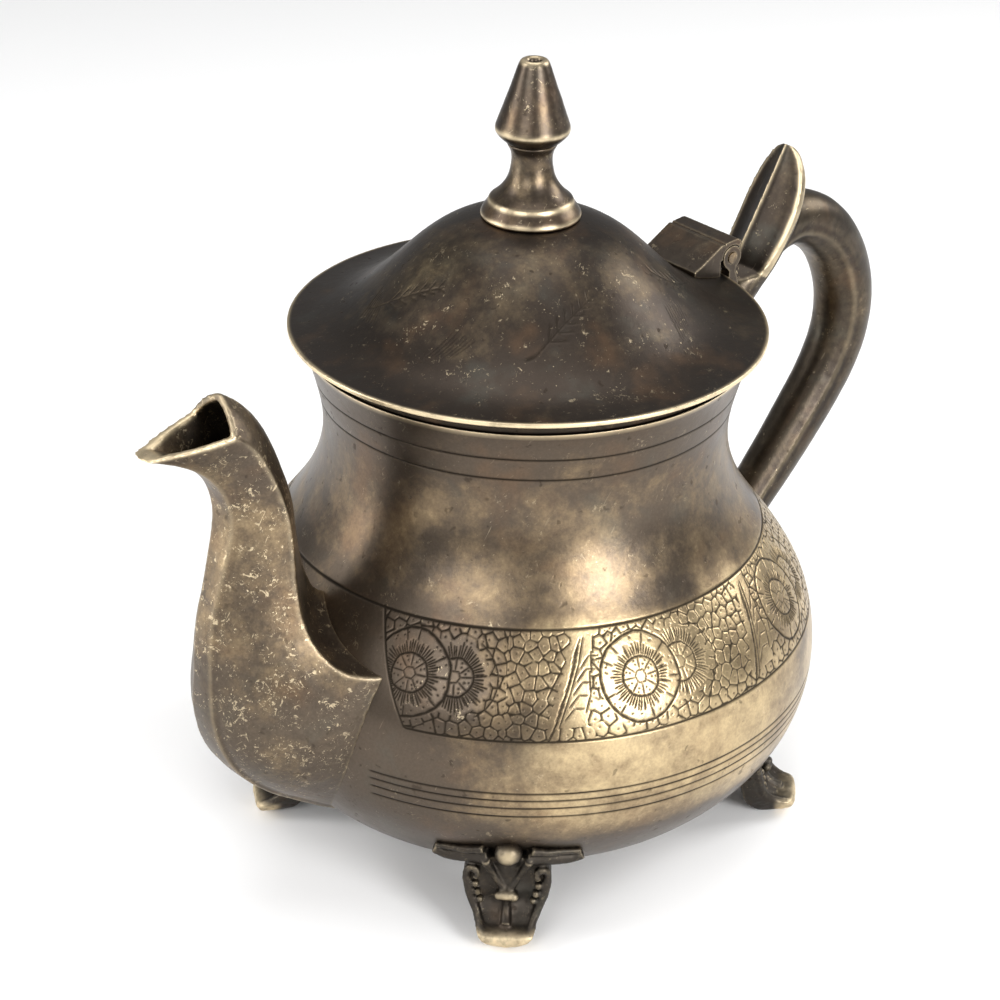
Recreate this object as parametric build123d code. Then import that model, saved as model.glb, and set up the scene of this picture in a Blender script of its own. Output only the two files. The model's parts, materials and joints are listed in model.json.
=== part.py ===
from build123d import *
import math
import os

# Footed brass coffee pot with a hinged lid. Millimetres.
# Frame: origin on the table plane at the pot's turning axis, +Z up the axis,
# the spout points to -X and the handle to +X.

# ---------------------------------------------------------------- dimensions
WALL = 1.6               # vessel wall
SPOUT_WALL = 1.8         # cast spout wall
LID_WALL = 1.3           # lid shell
BASE_Z = 8.0             # underside of the vessel's flat bottom
BASE_R = 42.0            # radius of the soldered bottom disc
LIP_Z = 137.7            # top of the neck lip
LIP_R = 58.2             # outer radius of the neck lip
LIP_BORE_R = 55.6        # thickened lip's inner radius
LID_R = 62.0             # lid brim radius
LID_Z = 142.6            # top edge of the lid brim
COLLAR_R = 52.3          # outer radius of the lid's locating collar
COLLAR_Z = 129.8         # bottom of the locating collar
HINGE_X = 62.8           # hinge pin axis
HINGE_Z = 147.5
HINGE_HALF = 10.6        # half of the hinge's length along the pin
PIN_R = 1.5
PIN_BORE_R = 1.55        # running bore in the lid's barrel
KNUCKLE_R = 3.3
LUG_IN = 7.4             # inner face of the fixed lugs
ROD_R = 1.5              # finial tie rod
FOOT_AZ = (50, 153.5, 228.1, 312.6)   # hand-set feet, not quite evenly spaced
FOOT_SHIFT = (0.0, -5.0, 0.0, 0.0)  # how far each foot stands out from or in from its nominal radius

# outer profile of the vessel, (radius, z), from the flat bottom to the lip
BODY_PROFILE = [
    (BASE_R + 2.0, BASE_Z), (52.3, 10.4), (60.4, 15.0), (67.3, 21.2), (76.0, 33.1),
    (79.6, 45.0), (79.7, 56.9), (76.6, 68.8), (69.3, 80.7), (60.5, 92.6),
    (54.9, 104.5), (53.2, 116.3), (55.1, 128.2), (LIP_R, LIP_Z),
]
# upper surface of the lid, (radius, z), from the finial seat to the brim
LID_PROFILE = [
    (0.0, 171.6), (8.0, 171.4), (12.7, 170.9), (18.0, 169.3), (24.0, 166.3), (30.0, 161.6),
    (36.0, 155.9), (42.0, 150.4), (47.0, 146.7), (52.0, 144.4), (57.0, 143.2), (LID_R, LID_Z),
]


# ---------------------------------------------------------------- helpers
def rz(r, z):
    return Vector(r, 0, z)


def revolve_closed(edges):
    """Solid of revolution about Z from edges in the XZ plane that close a face."""
    face = Face(Wire(edges))
    return Solid.revolve(face, 360, Axis.Z)


def poly_rev(points):
    pts = [rz(*p) for p in points]
    edges = [Edge.make_line(a, b) for a, b in zip(pts, pts[1:] + pts[:1]) if (a - b).length > 1e-9]
    return revolve_closed(edges)


def offset_points(edge, dist, n):
    """Points at a constant distance from a spline in the XZ plane, on its left side looking along it."""
    out = []
    for i in range(n + 1):
        p, t = edge.position_at(i / n), edge.tangent_at(i / n)
        out.append((p.X - t.Z * dist, p.Z + t.X * dist))
    return out


def solid_of(shape):
    """The single solid of a boolean result."""
    return max(shape.solids(), key=lambda q: q.volume)


def name_and_write(node, shape):
    shape.label = node
    export_step(shape, f"parts/{node}.step")


def loft_rings(rings):
    """Smooth solid through closed rings of the same number of points."""
    wires = [Wire.make_polygon([Vector(*p) for p in ring], close=True) for ring in rings]
    s = Solid.make_loft(wires, False)
    return s


def line_hit(curve, p, d):
    """Where the line p + t d (t > 0) first crosses a polyline in the XZ plane."""
    best = None
    for (x0, z0), (x1, z1) in zip(curve, curve[1:]):
        ex, ez = x1 - x0, z1 - z0
        den = d[0] * ez - d[1] * ex
        if abs(den) < 1e-12:
            continue
        t = ((x0 - p[0]) * ez - (z0 - p[1]) * ex) / den
        u = ((x0 - p[0]) * d[1] - (z0 - p[1]) * d[0]) / den
        if t > 0 and -1e-6 <= u <= 1 + 1e-6 and (best is None or t < best):
            best = t
    return best


def inset(poly, t):
    """Polygon moved inwards by t, corners mitred. The polygon runs anticlockwise."""
    n = len(poly)
    lines = []
    for i in range(n):
        (x0, y0), (x1, y1) = poly[i], poly[(i + 1) % n]
        ex, ey = x1 - x0, y1 - y0
        m = math.hypot(ex, ey)
        nx, ny = -ey / m, ex / m
        lines.append((x0 + nx * t, y0 + ny * t, ex / m, ey / m))
    out = []
    for i in range(n):
        ax, ay, adx, ady = lines[i - 1]
        bx, by, bdx, bdy = lines[i]
        den = adx * bdy - ady * bdx
        if abs(den) < 1e-6:
            out.append((bx, by))
            continue
        s = ((bx - ax) * bdy - (by - ay) * bdx) / den
        out.append((ax + adx * s, ay + ady * s))
    return out


def prism_y(points, y0, y1):
    """Extrusion along Y of a polygon given as (x, z) points."""
    w = Wire.make_polygon([Vector(x, y0, z) for x, z in points], close=True)
    return Solid.extrude(Face(w), Vector(0, y1 - y0, 0))


def cyl_y(x, z, r, y0, y1):
    c = Solid.make_cylinder(r, y1 - y0, Plane(origin=(x, y0, z), z_dir=(0, 1, 0)))
    return c


os.makedirs("parts", exist_ok=True)

# ---------------------------------------------------------------- vessel
outer = Edge.make_spline([rz(*p) for p in BODY_PROFILE], tangents=[Vector(1, 0, 0.05), Vector(0.45, 0, 1)])
inner_pts = offset_points(outer, WALL, 26)
inner_pts = [p for p in inner_pts if p[1] < LIP_Z - 9]
inner_pts[0] = (BODY_PROFILE[0][0], BASE_Z + WALL)
inner_pts += [(LIP_BORE_R, LIP_Z - 4.0)]
inner = Edge.make_spline([rz(*p) for p in inner_pts])
vessel = revolve_closed([
    outer,
    Edge.make_line(rz(LIP_R, LIP_Z), rz(LIP_BORE_R, LIP_Z)),
    Edge.make_line(rz(LIP_BORE_R, LIP_Z), rz(LIP_BORE_R, LIP_Z - 4.0)),
    inner,
    Edge.make_line(rz(*inner_pts[0]), rz(*BODY_PROFILE[0])),
])
# the filled outer form, used to seat everything soldered to the vessel
body_form = revolve_closed([
    outer,
    Edge.make_line(rz(LIP_R, LIP_Z), rz(0, LIP_Z)),
    Edge.make_line(rz(0, LIP_Z), rz(0, BASE_Z)),
    Edge.make_line(rz(0, BASE_Z), rz(*BODY_PROFILE[0])),
])
# strainer holes through the wall behind the spout
hole_tools = []
for row in range(-2, 3):
    count = 5 - abs(row)
    for k in range(count):
        y = (k - (count - 1) / 2) * 7.2
        z = 50.0 + row * 6.4
        hole_tools.append(Solid.make_cylinder(2.1, 30, Plane(origin=(-60, y, z), z_dir=(-1, 0, 0))))
vessel = solid_of(vessel.cut(*hole_tools))
base_disc = poly_rev([(0, BASE_Z), (BODY_PROFILE[0][0], BASE_Z), (BODY_PROFILE[0][0], BASE_Z + WALL), (0, BASE_Z + WALL)])

# ---------------------------------------------------------------- spout
# front (lower) line and back (upper) line in the plane y = 0
FRONT = [(-28, 12), (-38, 12.5), (-48, 14), (-58, 17), (-67, 21.2), (-77.5, 27.9), (-87.7, 35.2), (-94.2, 41.3), (-99.1, 48.1),
         (-101.9, 55), (-103.3, 62), (-103.4, 69), (-103.0, 76.5), (-102.3, 85), (-100.8, 93), (-99.1, 99),
         (-97.4, 105.6), (-95.9, 112), (-95.9, 119), (-98.8, 126.4), (-104.2, 132.0), (-110.7, 135.8), (-118.5, 138.9), (-127, 142.2)]
BACK = [(-34, 77), (-44, 80), (-56, 83), (-63.5, 84.3), (-67.8, 86.0), (-70.6, 90.5), (-72.6, 97), (-74.6, 108), (-76.5, 119.3),
        (-78.6, 125.6), (-83.1, 136.5), (-89.1, 144.5), (-95.2, 149.0), (-104, 153.9), (-114, 158.8), (-121, 162.2)]
# side ridge point (x, z), half-width there, section angle, front facet half-width, fullness of the flank
STATIONS = [
    ((-50.0, 70.0), 29.0, 97, 6.0, 1.00),
    ((-62.0, 72.3), 29.0, 84, 6.0, 1.00),
    ((-69.8, 74.1), 28.0, 70, 6.0, 1.00),
    ((-75.8, 75.6), 24.8, 54, 5.6, 0.95),
    ((-79.3, 78.8), 21.2, 36, 4.6, 0.85),
    ((-81.7, 84.1), 17.4, 18, 3.8, 0.70),
    ((-82.9, 90.7), 14.9, 7, 3.5, 0.58),
    ((-83.0, 98.4), 13.0, 2, 3.6, 0.50),
    ((-82.8, 108.0), 11.7, 4, 4.0, 0.42),
    ((-83.3, 115.6), 11.0, 9, 4.3, 0.34),
    ((-84.7, 121.5), 10.5, 18, 4.3, 0.28),
    ((-87.4, 128.7), 10.0, 32, 4.1, 0.25),
    ((-90.2, 134.2), 9.6, 43, 3.9, 0.25),
    ((-93.8, 138.7), 9.35, 51, 3.8, 0.33),
    ((-97.5, 141.5), 9.3, 55, 3.7, 0.42),
    ((-105.0, 146.6), 9.2, 56.5, 3.5, 0.60),
    ((-112.5, 151.7), 9.1, 57.5, 3.4, 0.70),
]


def spout_station(st):
    (mx, mz), w, ang, q, full = st
    dx, dz = math.cos(math.radians(ang)), math.sin(math.radians(ang))
    tb = line_hit(BACK_L, (mx, mz), (dx, dz))
    tf = line_hit(FRONT_L, (mx, mz), (-dx, -dz))
    h = []
    for a in (0.36, 0.70):
        lin = w + (q - w) * a
        sup = w * (1 - a ** 2.4) ** (1 / 1.9)
        h.append((-tf * a, (1 - full) * lin + full * max(sup, lin)))
    # (position along the section line, half-width); back, side ridge, flank, front facet edge, front
    return (mx, mz), (dx, dz), [(tb, 0.0), (0.0, w), h[0], h[1], (-tf, q), (-tf, 0.0)]


def spline_samples(points, n):
    e = Edge.make_spline([rz(*p) for p in points])
    return [(e.position_at(i / n).X, e.position_at(i / n).Z) for i in range(n + 1)]


FRONT_L = spline_samples(FRONT, 200)
BACK_L = spline_samples(BACK, 160)


def spout_rings(side):
    """Closed rings of one half of the spout's wall: out along the outer face, back along the inner face."""
    rings = []
    for st in STATIONS:
        (mx, mz), (dx, dz), half = spout_station(st)
        whole = half + [(u, -v) for u, v in reversed(half[:-1]) if v > 0]
        turn = sum(whole[i - 1][0] * whole[i][1] - whole[i][0] * whole[i - 1][1] for i in range(len(whole)))
        inner_whole = inset(whole, SPOUT_WALL if turn > 0 else -SPOUT_WALL)
        inner_half = inner_whole[:len(half)]
        inner_half[-1] = (inner_half[-2][0], 0.0)
        pts = half + inner_half[::-1]
        rings.append([(mx + u * dx, side * v, mz + u * dz) for u, v in pts])
    return rings


# mouth: the front part is cut level with the beak, the back keeps a raised hood
MOUTH_CORNER = (-96.9, 141.1)
mouth_cut = prism_y([
    MOUTH_CORNER, (-95.0, 149.6), (-90.0, 172.0), (-140.0, 172.0), (-150.0, 134.2), (-119.6, 138.15)], -30, 30)


def make_half(side):
    s = loft_rings(spout_rings(side))
    s = solid_of(s.cut(mouth_cut))
    s = solid_of(s.cut(body_form))
    return s


spout_left = make_half(1)
spout_right = make_half(-1)

# ---------------------------------------------------------------- handle
# centre line (x, z), thickness across the loop, width across the loop
HANDLE = [
    ((49.0, 118.5), 11.0, 12.0), ((60.0, 122.6), 11.0, 13.0), ((69.2, 128.2), 11.4, 14.0),
    ((75.6, 135.0), 12.0, 14.8), ((81.2, 142.2), 13.0, 15.4), ((88.0, 147.2), 14.6, 15.8),
    ((95.6, 148.4), 15.6, 16.0), ((102.8, 146.0), 16.2, 16.2), ((111.2, 139.4), 16.6, 16.2),
    ((117.0, 130.4), 17.0, 16.0), ((120.3, 119.0), 17.2, 15.8), ((119.4, 107.2), 17.2, 15.4),
    ((114.4, 96.0), 16.8, 15.0), ((106.8, 85.5), 16.2, 14.4), ((98.2, 75.2), 15.4, 13.8),
    ((89.5, 65.5), 14.2, 13.2), ((81.0, 56.6), 12.8, 12.6), ((72.0, 49.0), 12.4, 12.2),
]


def path_rings(path):
    rings = []
    n = len(path)
    for i, ((x, z), t, w) in enumerate(path):
        x0, z0 = path[max(i - 1, 0)][0]
        x1, z1 = path[min(i + 1, n - 1)][0]
        m = math.hypot(x1 - x0, z1 - z0)
        tx, tz = (x1 - x0) / m, (z1 - z0) / m
        ox, oz = -tz, tx      # outwards from the loop
        sec = [(0.50 * t, 0.0), (0.40 * t, 0.30 * w), (0.06 * t, 0.50 * w), (-0.30 * t, 0.36 * w),
               (-0.50 * t, 0.0), (-0.30 * t, -0.36 * w), (0.06 * t, -0.50 * w), (0.40 * t, -0.30 * w)]
        rings.append([(x + ox * a, b, z + oz * a) for a, b in sec])
    return rings


loop = loft_rings(path_rings(HANDLE))

# thumb leaf: distance along its axis, half-width, keel height, back thickness
LEAF_BASE = (74.6, 139.4)
LEAF_TIP = (92.0, 169.8)
LEAF = [(-9.0, 6.6, 2.6, 6.0), (-2.0, 7.8, 3.4, 5.6), (5.0, 8.9, 4.3, 4.6), (12.0, 9.5, 4.7, 3.6),
        (19.0, 9.4, 4.6, 3.0), (25.0, 8.2, 4.0, 2.6), (29.5, 6.1, 3.0, 2.2), (32.6, 3.6, 1.8, 1.8), (34.1, 1.5, 0.8, 1.2)]
m = math.hypot(LEAF_TIP[0] - LEAF_BASE[0], LEAF_TIP[1] - LEAF_BASE[1])
ax, az = (LEAF_TIP[0] - LEAF_BASE[0]) / m, (LEAF_TIP[1] - LEAF_BASE[1]) / m
nx, nz = -az, ax          # forwards, towards the lid
leaf_rings = []
for s, hw, keel, back in LEAF:
    cx, cz = LEAF_BASE[0] + ax * s - nx * keel, LEAF_BASE[1] + az * s - nz * keel
    sec = [(keel, 0.0), (0.5 * keel + 0.1, hw * 0.5), (0.7, hw), (-0.9, hw), (-back, 0.0),
           (-0.9, -hw), (0.7, -hw), (0.5 * keel + 0.1, -hw * 0.5)]
    leaf_rings.append([(cx + nx * a, b, cz + nz * a) for a, b in sec])
leaf = loft_rings(leaf_rings)
handle = solid_of(loop.fuse(leaf))
handle = solid_of(handle.cut(body_form))

# ---------------------------------------------------------------- hinge, fixed side
lug_outline = [(62.0, 136.5), (62.0, 143.6), (61.2, 144.6), (60.6, 146.0), (62.8, 148.0), (65.4, 146.0), (64.5, 144.2),
               (64.3, 143.4), (65.6, 140.0), (66.2, 136.5)]
lugs = []
for s in (-1, 1):
    y0, y1 = (LUG_IN, HINGE_HALF) if s > 0 else (-HINGE_HALF, -LUG_IN)
    lugs.append(prism_y(lug_outline, y0, y1).fuse(cyl_y(HINGE_X, HINGE_Z, KNUCKLE_R, y0, y1)))
bar = prism_y([(54.0, 132.6), (54.0, 137.0), (66.2, 137.0), (66.2, 134.6), (63.0, 132.6)], -HINGE_HALF, HINGE_HALF)
bracket = bar.fuse(*lugs)
bracket = bracket.cut(cyl_y(HINGE_X, HINGE_Z, PIN_R, -20, 20), body_form, handle)
bracket = solid_of(bracket)
pin = cyl_y(HINGE_X, HINGE_Z, PIN_R, -HINGE_HALF - 0.3, HINGE_HALF + 0.3)

# ---------------------------------------------------------------- lid
lid_top = Edge.make_spline([rz(*p) for p in LID_PROFILE], tangents=[Vector(1, 0, 0), Vector(1, 0, -0.08)])
under_pts = offset_points(lid_top, -LID_WALL, 24)
under_pts[0] = (0.0, LID_PROFILE[0][1] - LID_WALL)
under_pts[-1] = (LID_R, LID_Z - LID_WALL)
lid_under = Edge.make_spline([rz(*p) for p in under_pts])
lid = revolve_closed([
    lid_top,
    Edge.make_line(rz(LID_R, LID_Z), rz(LID_R, LID_Z - LID_WALL)),
    lid_under,
    Edge.make_line(rz(0, LID_PROFILE[0][1] - LID_WALL), rz(*LID_PROFILE[0])),
])
rod_hole = Solid.make_cylinder(ROD_R, 60, Plane(origin=(0, 0, 150), z_dir=(0, 0, 1)))
lid_dome = solid_of(lid.cut(rod_hole))
# everything below the lid's upper surface, used to seat parts on the lid
below_top = revolve_closed([
    lid_top,
    Edge.make_line(rz(LID_R, LID_Z), rz(LID_R, 100)),
    Edge.make_line(rz(LID_R, 100), rz(0, 100)),
    Edge.make_line(rz(0, 100), rz(*LID_PROFILE[0])),
])
above_under = revolve_closed([
    lid_under,
    Edge.make_line(rz(LID_R, LID_Z - LID_WALL), rz(LID_R, 200)),
    Edge.make_line(rz(LID_R, 200), rz(0, 200)),
    Edge.make_line(rz(0, 200), rz(0, LID_PROFILE[0][1] - LID_WALL)),
])
bezel = poly_rev([(51.0, COLLAR_Z), (COLLAR_R, COLLAR_Z), (COLLAR_R, LIP_Z + 0.15), (57.4, LIP_Z + 0.15),
                  (57.4, LIP_Z + 1.75), (COLLAR_R + 0.3, LIP_Z + 1.75), (COLLAR_R + 0.3, 146.0), (51.0, 146.0)])
bezel = solid_of(bezel.cut(above_under))

# hinge block on the brim: a wedge with a grooved cap over the knuckles and a middle barrel
cap_outline = [(49.0, 140.0), (49.0, 146.4), (51.6, 147.6), (58.7, 151.8), (59.5, 151.9), (59.9, 151.5), (60.3, 152.1),
               (64.4, 152.6), (65.8, 151.9), (65.8, 151.0), (62.8, 147.5), (60.2, 143.5), (60.2, 140.0)]
block = prism_y(cap_outline, -HINGE_HALF, HINGE_HALF)
barrel = cyl_y(HINGE_X, HINGE_Z, KNUCKLE_R, -LUG_IN + 0.2, LUG_IN - 0.2)
block = block.cut(
    cyl_y(HINGE_X, HINGE_Z, KNUCKLE_R + 0.3, LUG_IN - 0.2, 20), cyl_y(HINGE_X, HINGE_Z, KNUCKLE_R + 0.3, -20, -LUG_IN + 0.2),
    prism_y([(58.6, 139.0), (58.6, 147.5), (70.0, 147.5), (70.0, 139.0)], LUG_IN - 0.2, 20),
    prism_y([(58.6, 139.0), (58.6, 147.5), (70.0, 147.5), (70.0, 139.0)], -20, -LUG_IN + 0.2))
block = block.fuse(barrel)
block = block.cut(cyl_y(HINGE_X, HINGE_Z, PIN_BORE_R, -20, 20), below_top)
block = solid_of(block)

# ---------------------------------------------------------------- finial
stem_pts = [(12.7, 170.6), (12.9, 171.6), (12.2, 173.2), (11.3, 174.8), (10.7, 175.4), (10.5, 175.8), (7.8, 178.6),
            (6.0, 181.6), (5.25, 184.8), (5.2, 187.4), (5.9, 189.4), (6.6, 190.6)]
stem = poly_rev([(0, 168.0), (12.7, 168.0)] + stem_pts + [(0, 190.6)])
stem = solid_of(stem.cut(below_top, Solid.make_cylinder(ROD_R, 60, Plane(origin=(0, 0, 150), z_dir=(0, 0, 1)))))
knob = poly_rev([(0, 190.6), (6.6, 190.6), (9.2, 193.2), (9.5, 194.2), (9.2, 195.4), (3.9, 210.8), (3.3, 211.8), (0, 211.8)])
knob = solid_of(knob.cut(Solid.make_cylinder(ROD_R, 60, Plane(origin=(0, 0, 180), z_dir=(0, 0, 1)))))
tie_rod = Solid.make_cylinder(ROD_R, 209.0 - 162.6, Plane(origin=(0, 0, 162.6), z_dir=(0, 0, 1)))
top_under = LID_PROFILE[0][1] - LID_WALL
washer = solid_of(poly_rev([(ROD_R, top_under - 1.6), (5.5, top_under - 1.6), (5.5, top_under + 0.6), (ROD_R, top_under + 0.6)]).cut(above_under))
nut_w = Wire.make_polygon([Vector(4.0 * math.cos(math.radians(60 * k)), 4.0 * math.sin(math.radians(60 * k)), top_under - 4.6) for k in range(6)], close=True)
nut = Solid.extrude(Face(nut_w), Vector(0, 0, 3.0))
nut = solid_of(nut.cut(Solid.make_cylinder(ROD_R, 20, Plane(origin=(0, 0, 155), z_dir=(0, 0, 1)))))

# ---------------------------------------------------------------- feet
# front outline (lateral, z) of the cast shield with its scroll brackets
FOOT_OUTLINE = [(-2.4, 0.0), (2.4, 0.0), (5.6, 2.6), (7.8, 5.8), (9.7, 9.6), (10.9, 14.0), (11.3, 18.0), (10.9, 20.8),
                (12.4, 21.7), (17.6, 21.7), (20.8, 23.1), (21.0, 25.5), (17.0, 27.2), (10.0, 28.2), (4.6, 30.4), (0.0, 31.0),
                (-4.6, 30.4), (-10.0, 28.2), (-17.0, 27.2), (-21.0, 25.5), (-20.8, 23.1), (-17.6, 21.7), (-12.4, 21.7), (-10.9, 20.8),
                (-11.3, 18.0), (-10.9, 14.0), (-9.7, 9.6), (-7.8, 5.8), (-5.6, 2.6)]
# side profile (radius, z)
FOOT_LEAN = 13.0              # degrees, the handle-side right foot tips inwards
FOOT_HALF_PLAIN = [(2.4, 0), (5.6, 2.6), (7.8, 5.8), (9.7, 9.6), (10.9, 14), (11.3, 18), (10.6, 21.6), (8.4, 24.6), (4.6, 26.4), (0, 27)]
FOOT_OUTLINE_PLAIN = FOOT_HALF_PLAIN + [(-u, z) for u, z in reversed(FOOT_HALF_PLAIN[:-1])]
FOOT_SIDE = [(72.2, 0.0), (76.4, 0.0), (78.8, 1.1), (80.2, 3.0), (79.9, 4.8), (78.0, 5.6), (75.2, 6.4), (73.2, 8.2), (72.4, 10.8),
             (72.6, 14.0), (72.4, 18.5), (73.4, 23.0), (75.0, 27.0), (76.6, 31.5), (64.0, 31.5), (60.0, 18.0), (64.0, 11.0), (65.8, 6.2),
             (67.8, 2.8), (70.2, 0.9)]


def make_leaning_foot(azimuth):
    # same shield without its wings, tipped inwards on the front edge of its toe
    outline = Wire.make_polygon([Vector(58, u, z) for u, z in FOOT_OUTLINE_PLAIN], close=True)
    foot = solid_of(poly_rev(FOOT_SIDE).intersect(Solid.extrude(Face(outline), Vector(30, 0, 0))))
    cross = Solid.make_sphere(2.4, Plane(origin=(73.0, 0, 14.0), x_dir=(0.3, 1, 0.2), z_dir=(0.9, -0.3, 0.15)))
    foot = solid_of(foot.fuse(cross)).rotate(Axis((78.0, 0, 0), (0, 1, 0)), -FOOT_LEAN)
    foot = solid_of(foot.cut(body_form))
    foot = solid_of(foot.cut(Solid.make_box(80, 80, 20, Plane(origin=(40, -40, -20)))))
    return foot.rotate(Axis.Z, azimuth)


def make_foot(azimuth, shift):
    outline = Wire.make_polygon([Vector(58, u, z) for u, z in FOOT_OUTLINE], close=True)
    plate = Solid.extrude(Face(outline), Vector(30, 0, 0))
    # the shield is bowed across its width, like the belly it follows
    foot = solid_of(poly_rev(FOOT_SIDE).intersect(plate))
    foot = solid_of(foot.moved(Location((shift, 0, 0))).cut(body_form))
    bead = Solid.make_sphere(3.9, Plane(origin=(73.6 + shift, 0, 27.6), x_dir=(0.3, 1, 0.2), z_dir=(0.9, -0.3, 0.15)))
    cross = Solid.make_sphere(2.4, Plane(origin=(73.0 + shift, 0, 14.0), x_dir=(0.3, 1, 0.2), z_dir=(0.9, -0.3, 0.15)))
    foot = solid_of(foot.fuse(solid_of(bead.cut(body_form))))
    foot = solid_of(foot.fuse(cross))
    return foot.rotate(Axis.Z, azimuth)


# ---------------------------------------------------------------- write
NODES = {
    "body_vessel": vessel,
    "base_disc": base_disc,
    "spout_left_half": spout_left,
    "spout_right_half": spout_right,
    "handle": handle,
    "hinge_bracket": bracket,
    "hinge_pin": pin,
    "lid_dome": lid_dome,
    "lid_bezel": bezel,
    "lid_hinge_block": block,
    "finial_stem": stem,
    "finial_knob": knob,
    "finial_tie_rod": tie_rod,
    "finial_washer": washer,
    "finial_nut": nut,
}
for az_deg, shift, where in zip(FOOT_AZ, FOOT_SHIFT, ("handle_left", "spout_left", "spout_right", "handle_right")):
    NODES["foot_" + where] = make_leaning_foot(az_deg) if where == "handle_right" else make_foot(az_deg, shift)
for node, shape in NODES.items():
    name_and_write(node, shape)
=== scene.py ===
import json
import math
import bpy
import bmesh
import numpy as np
from mathutils import Matrix, Vector


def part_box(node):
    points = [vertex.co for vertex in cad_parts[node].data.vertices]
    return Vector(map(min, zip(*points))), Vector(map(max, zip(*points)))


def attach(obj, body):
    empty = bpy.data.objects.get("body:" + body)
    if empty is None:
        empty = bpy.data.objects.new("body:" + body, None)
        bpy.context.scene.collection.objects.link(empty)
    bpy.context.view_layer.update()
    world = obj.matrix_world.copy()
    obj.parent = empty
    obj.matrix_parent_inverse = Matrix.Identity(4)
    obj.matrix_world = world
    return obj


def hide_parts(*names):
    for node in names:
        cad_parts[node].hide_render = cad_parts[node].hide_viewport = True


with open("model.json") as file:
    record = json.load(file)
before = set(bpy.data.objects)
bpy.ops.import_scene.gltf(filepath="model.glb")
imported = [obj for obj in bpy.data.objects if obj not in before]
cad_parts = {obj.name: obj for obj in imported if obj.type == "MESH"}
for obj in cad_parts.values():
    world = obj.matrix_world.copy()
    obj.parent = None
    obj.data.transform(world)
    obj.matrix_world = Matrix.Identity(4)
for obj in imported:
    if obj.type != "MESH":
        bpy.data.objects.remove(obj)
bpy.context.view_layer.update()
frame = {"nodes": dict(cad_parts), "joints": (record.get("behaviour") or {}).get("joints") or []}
NODES = frame["nodes"]
LID_JOINT = frame["joints"][0]
HINGE = np.array(LID_JOINT["pos_m"]) * 1000.0
MM = 0.001


# ================================================================ numeric helpers
def cubic(points, n, d0=None, d1=None):
    """Points along a cubic spline through points, by chord length. d0 and d1 are end directions."""
    p = np.array(points, float)
    t = np.concatenate([[0], np.cumsum(np.linalg.norm(np.diff(p, axis=0), axis=1))])
    m, h = len(p), np.diff(t)
    a = np.zeros((m, m))
    b = np.zeros_like(p)
    for i in range(1, m - 1):
        a[i, i - 1], a[i, i], a[i, i + 1] = h[i], 2 * (h[i - 1] + h[i]), h[i - 1]
        b[i] = 3 * (h[i] * (p[i] - p[i - 1]) / h[i - 1] + h[i - 1] * (p[i + 1] - p[i]) / h[i])
    if d0 is None:
        a[0, 0], a[0, 1] = 2, 1
        b[0] = 3 * (p[1] - p[0]) / h[0]
    else:
        a[0, 0] = 1
        b[0] = np.array(d0, float) / np.linalg.norm(d0)
    if d1 is None:
        a[-1, -1], a[-1, -2] = 2, 1
        b[-1] = 3 * (p[-1] - p[-2]) / h[-1]
    else:
        a[-1, -1] = 1
        b[-1] = np.array(d1, float) / np.linalg.norm(d1)
    k = np.linalg.solve(a, b)
    q = np.asarray(n, float) * t[-1] if np.ndim(n) else np.linspace(0, t[-1], n + 1)
    i = np.clip(np.searchsorted(t, q, side="right") - 1, 0, m - 2)
    s = ((q - t[i]) / h[i])[:, None]
    hh = h[i][:, None]
    return ((2 * s ** 3 - 3 * s ** 2 + 1) * p[i] + (s ** 3 - 2 * s ** 2 + s) * hh * k[i]
            + (-2 * s ** 3 + 3 * s ** 2) * p[i + 1] + (s ** 3 - s ** 2) * hh * k[i + 1])


def smooth(x, a, b):
    t = np.clip((x - a) / (b - a), 0, 1)
    return t * t * (3 - 2 * t)


def _hash(ix, iy, iz, seed):
    h = (ix * 374761393 + iy * 668265263 + iz * 1440662683 + seed * 974634777) & 0xFFFFFFFF
    h = ((h ^ (h >> 13)) * 1274126177) & 0xFFFFFFFF
    h = ((h ^ (h >> 15)) * 2246822519) & 0xFFFFFFFF
    h = h ^ (h >> 16)
    return (h & 0xFFFFFF) / float(0xFFFFFF)


def noise(p, size, seed=0, octaves=3):
    """Value noise in -1..1 at points p (n, 3) in mm, with features of about size mm."""
    out, amp, tot = np.zeros(len(p)), 1.0, 0.0
    for o in range(octaves):
        q = p / (size / 2 ** o) + 37.3 * o
        i = np.floor(q).astype(np.int64)
        f = q - i
        f = f * f * (3 - 2 * f)
        v = np.zeros(len(p))
        for dx in (0, 1):
            wx = f[:, 0] if dx else 1 - f[:, 0]
            for dy in (0, 1):
                wy = f[:, 1] if dy else 1 - f[:, 1]
                for dz in (0, 1):
                    wz = f[:, 2] if dz else 1 - f[:, 2]
                    v += wx * wy * wz * _hash(i[:, 0] + dx, i[:, 1] + dy, i[:, 2] + dz, seed + o)
        out += amp * (2 * v - 1)
        tot += amp
        amp *= 0.5
    return out / tot


def seg_groove(x, y, segs):
    """Depth map of round-bottomed cuts. segs rows: x0, y0, x1, y1, half-width, depth. Cuts taper at both ends."""
    out = np.zeros_like(x)
    for x0, y0, x1, y1, w, dep in segs:
        pad = 3 * w
        near = ((x > min(x0, x1) - pad) & (x < max(x0, x1) + pad) & (y > min(y0, y1) - pad) & (y < max(y0, y1) + pad))
        if not near.any():
            continue
        xx, yy = x[near], y[near]
        dx, dy = x1 - x0, y1 - y0
        l2 = dx * dx + dy * dy + 1e-12
        t = np.clip(((xx - x0) * dx + (yy - y0) * dy) / l2, 0, 1)
        d = np.hypot(xx - x0 - t * dx, yy - y0 - t * dy)
        out[near] = np.maximum(out[near], dep * np.exp(-(d / w) ** 2) * (0.55 + 0.45 * np.sin(np.pi * t)))
    return out


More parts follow.
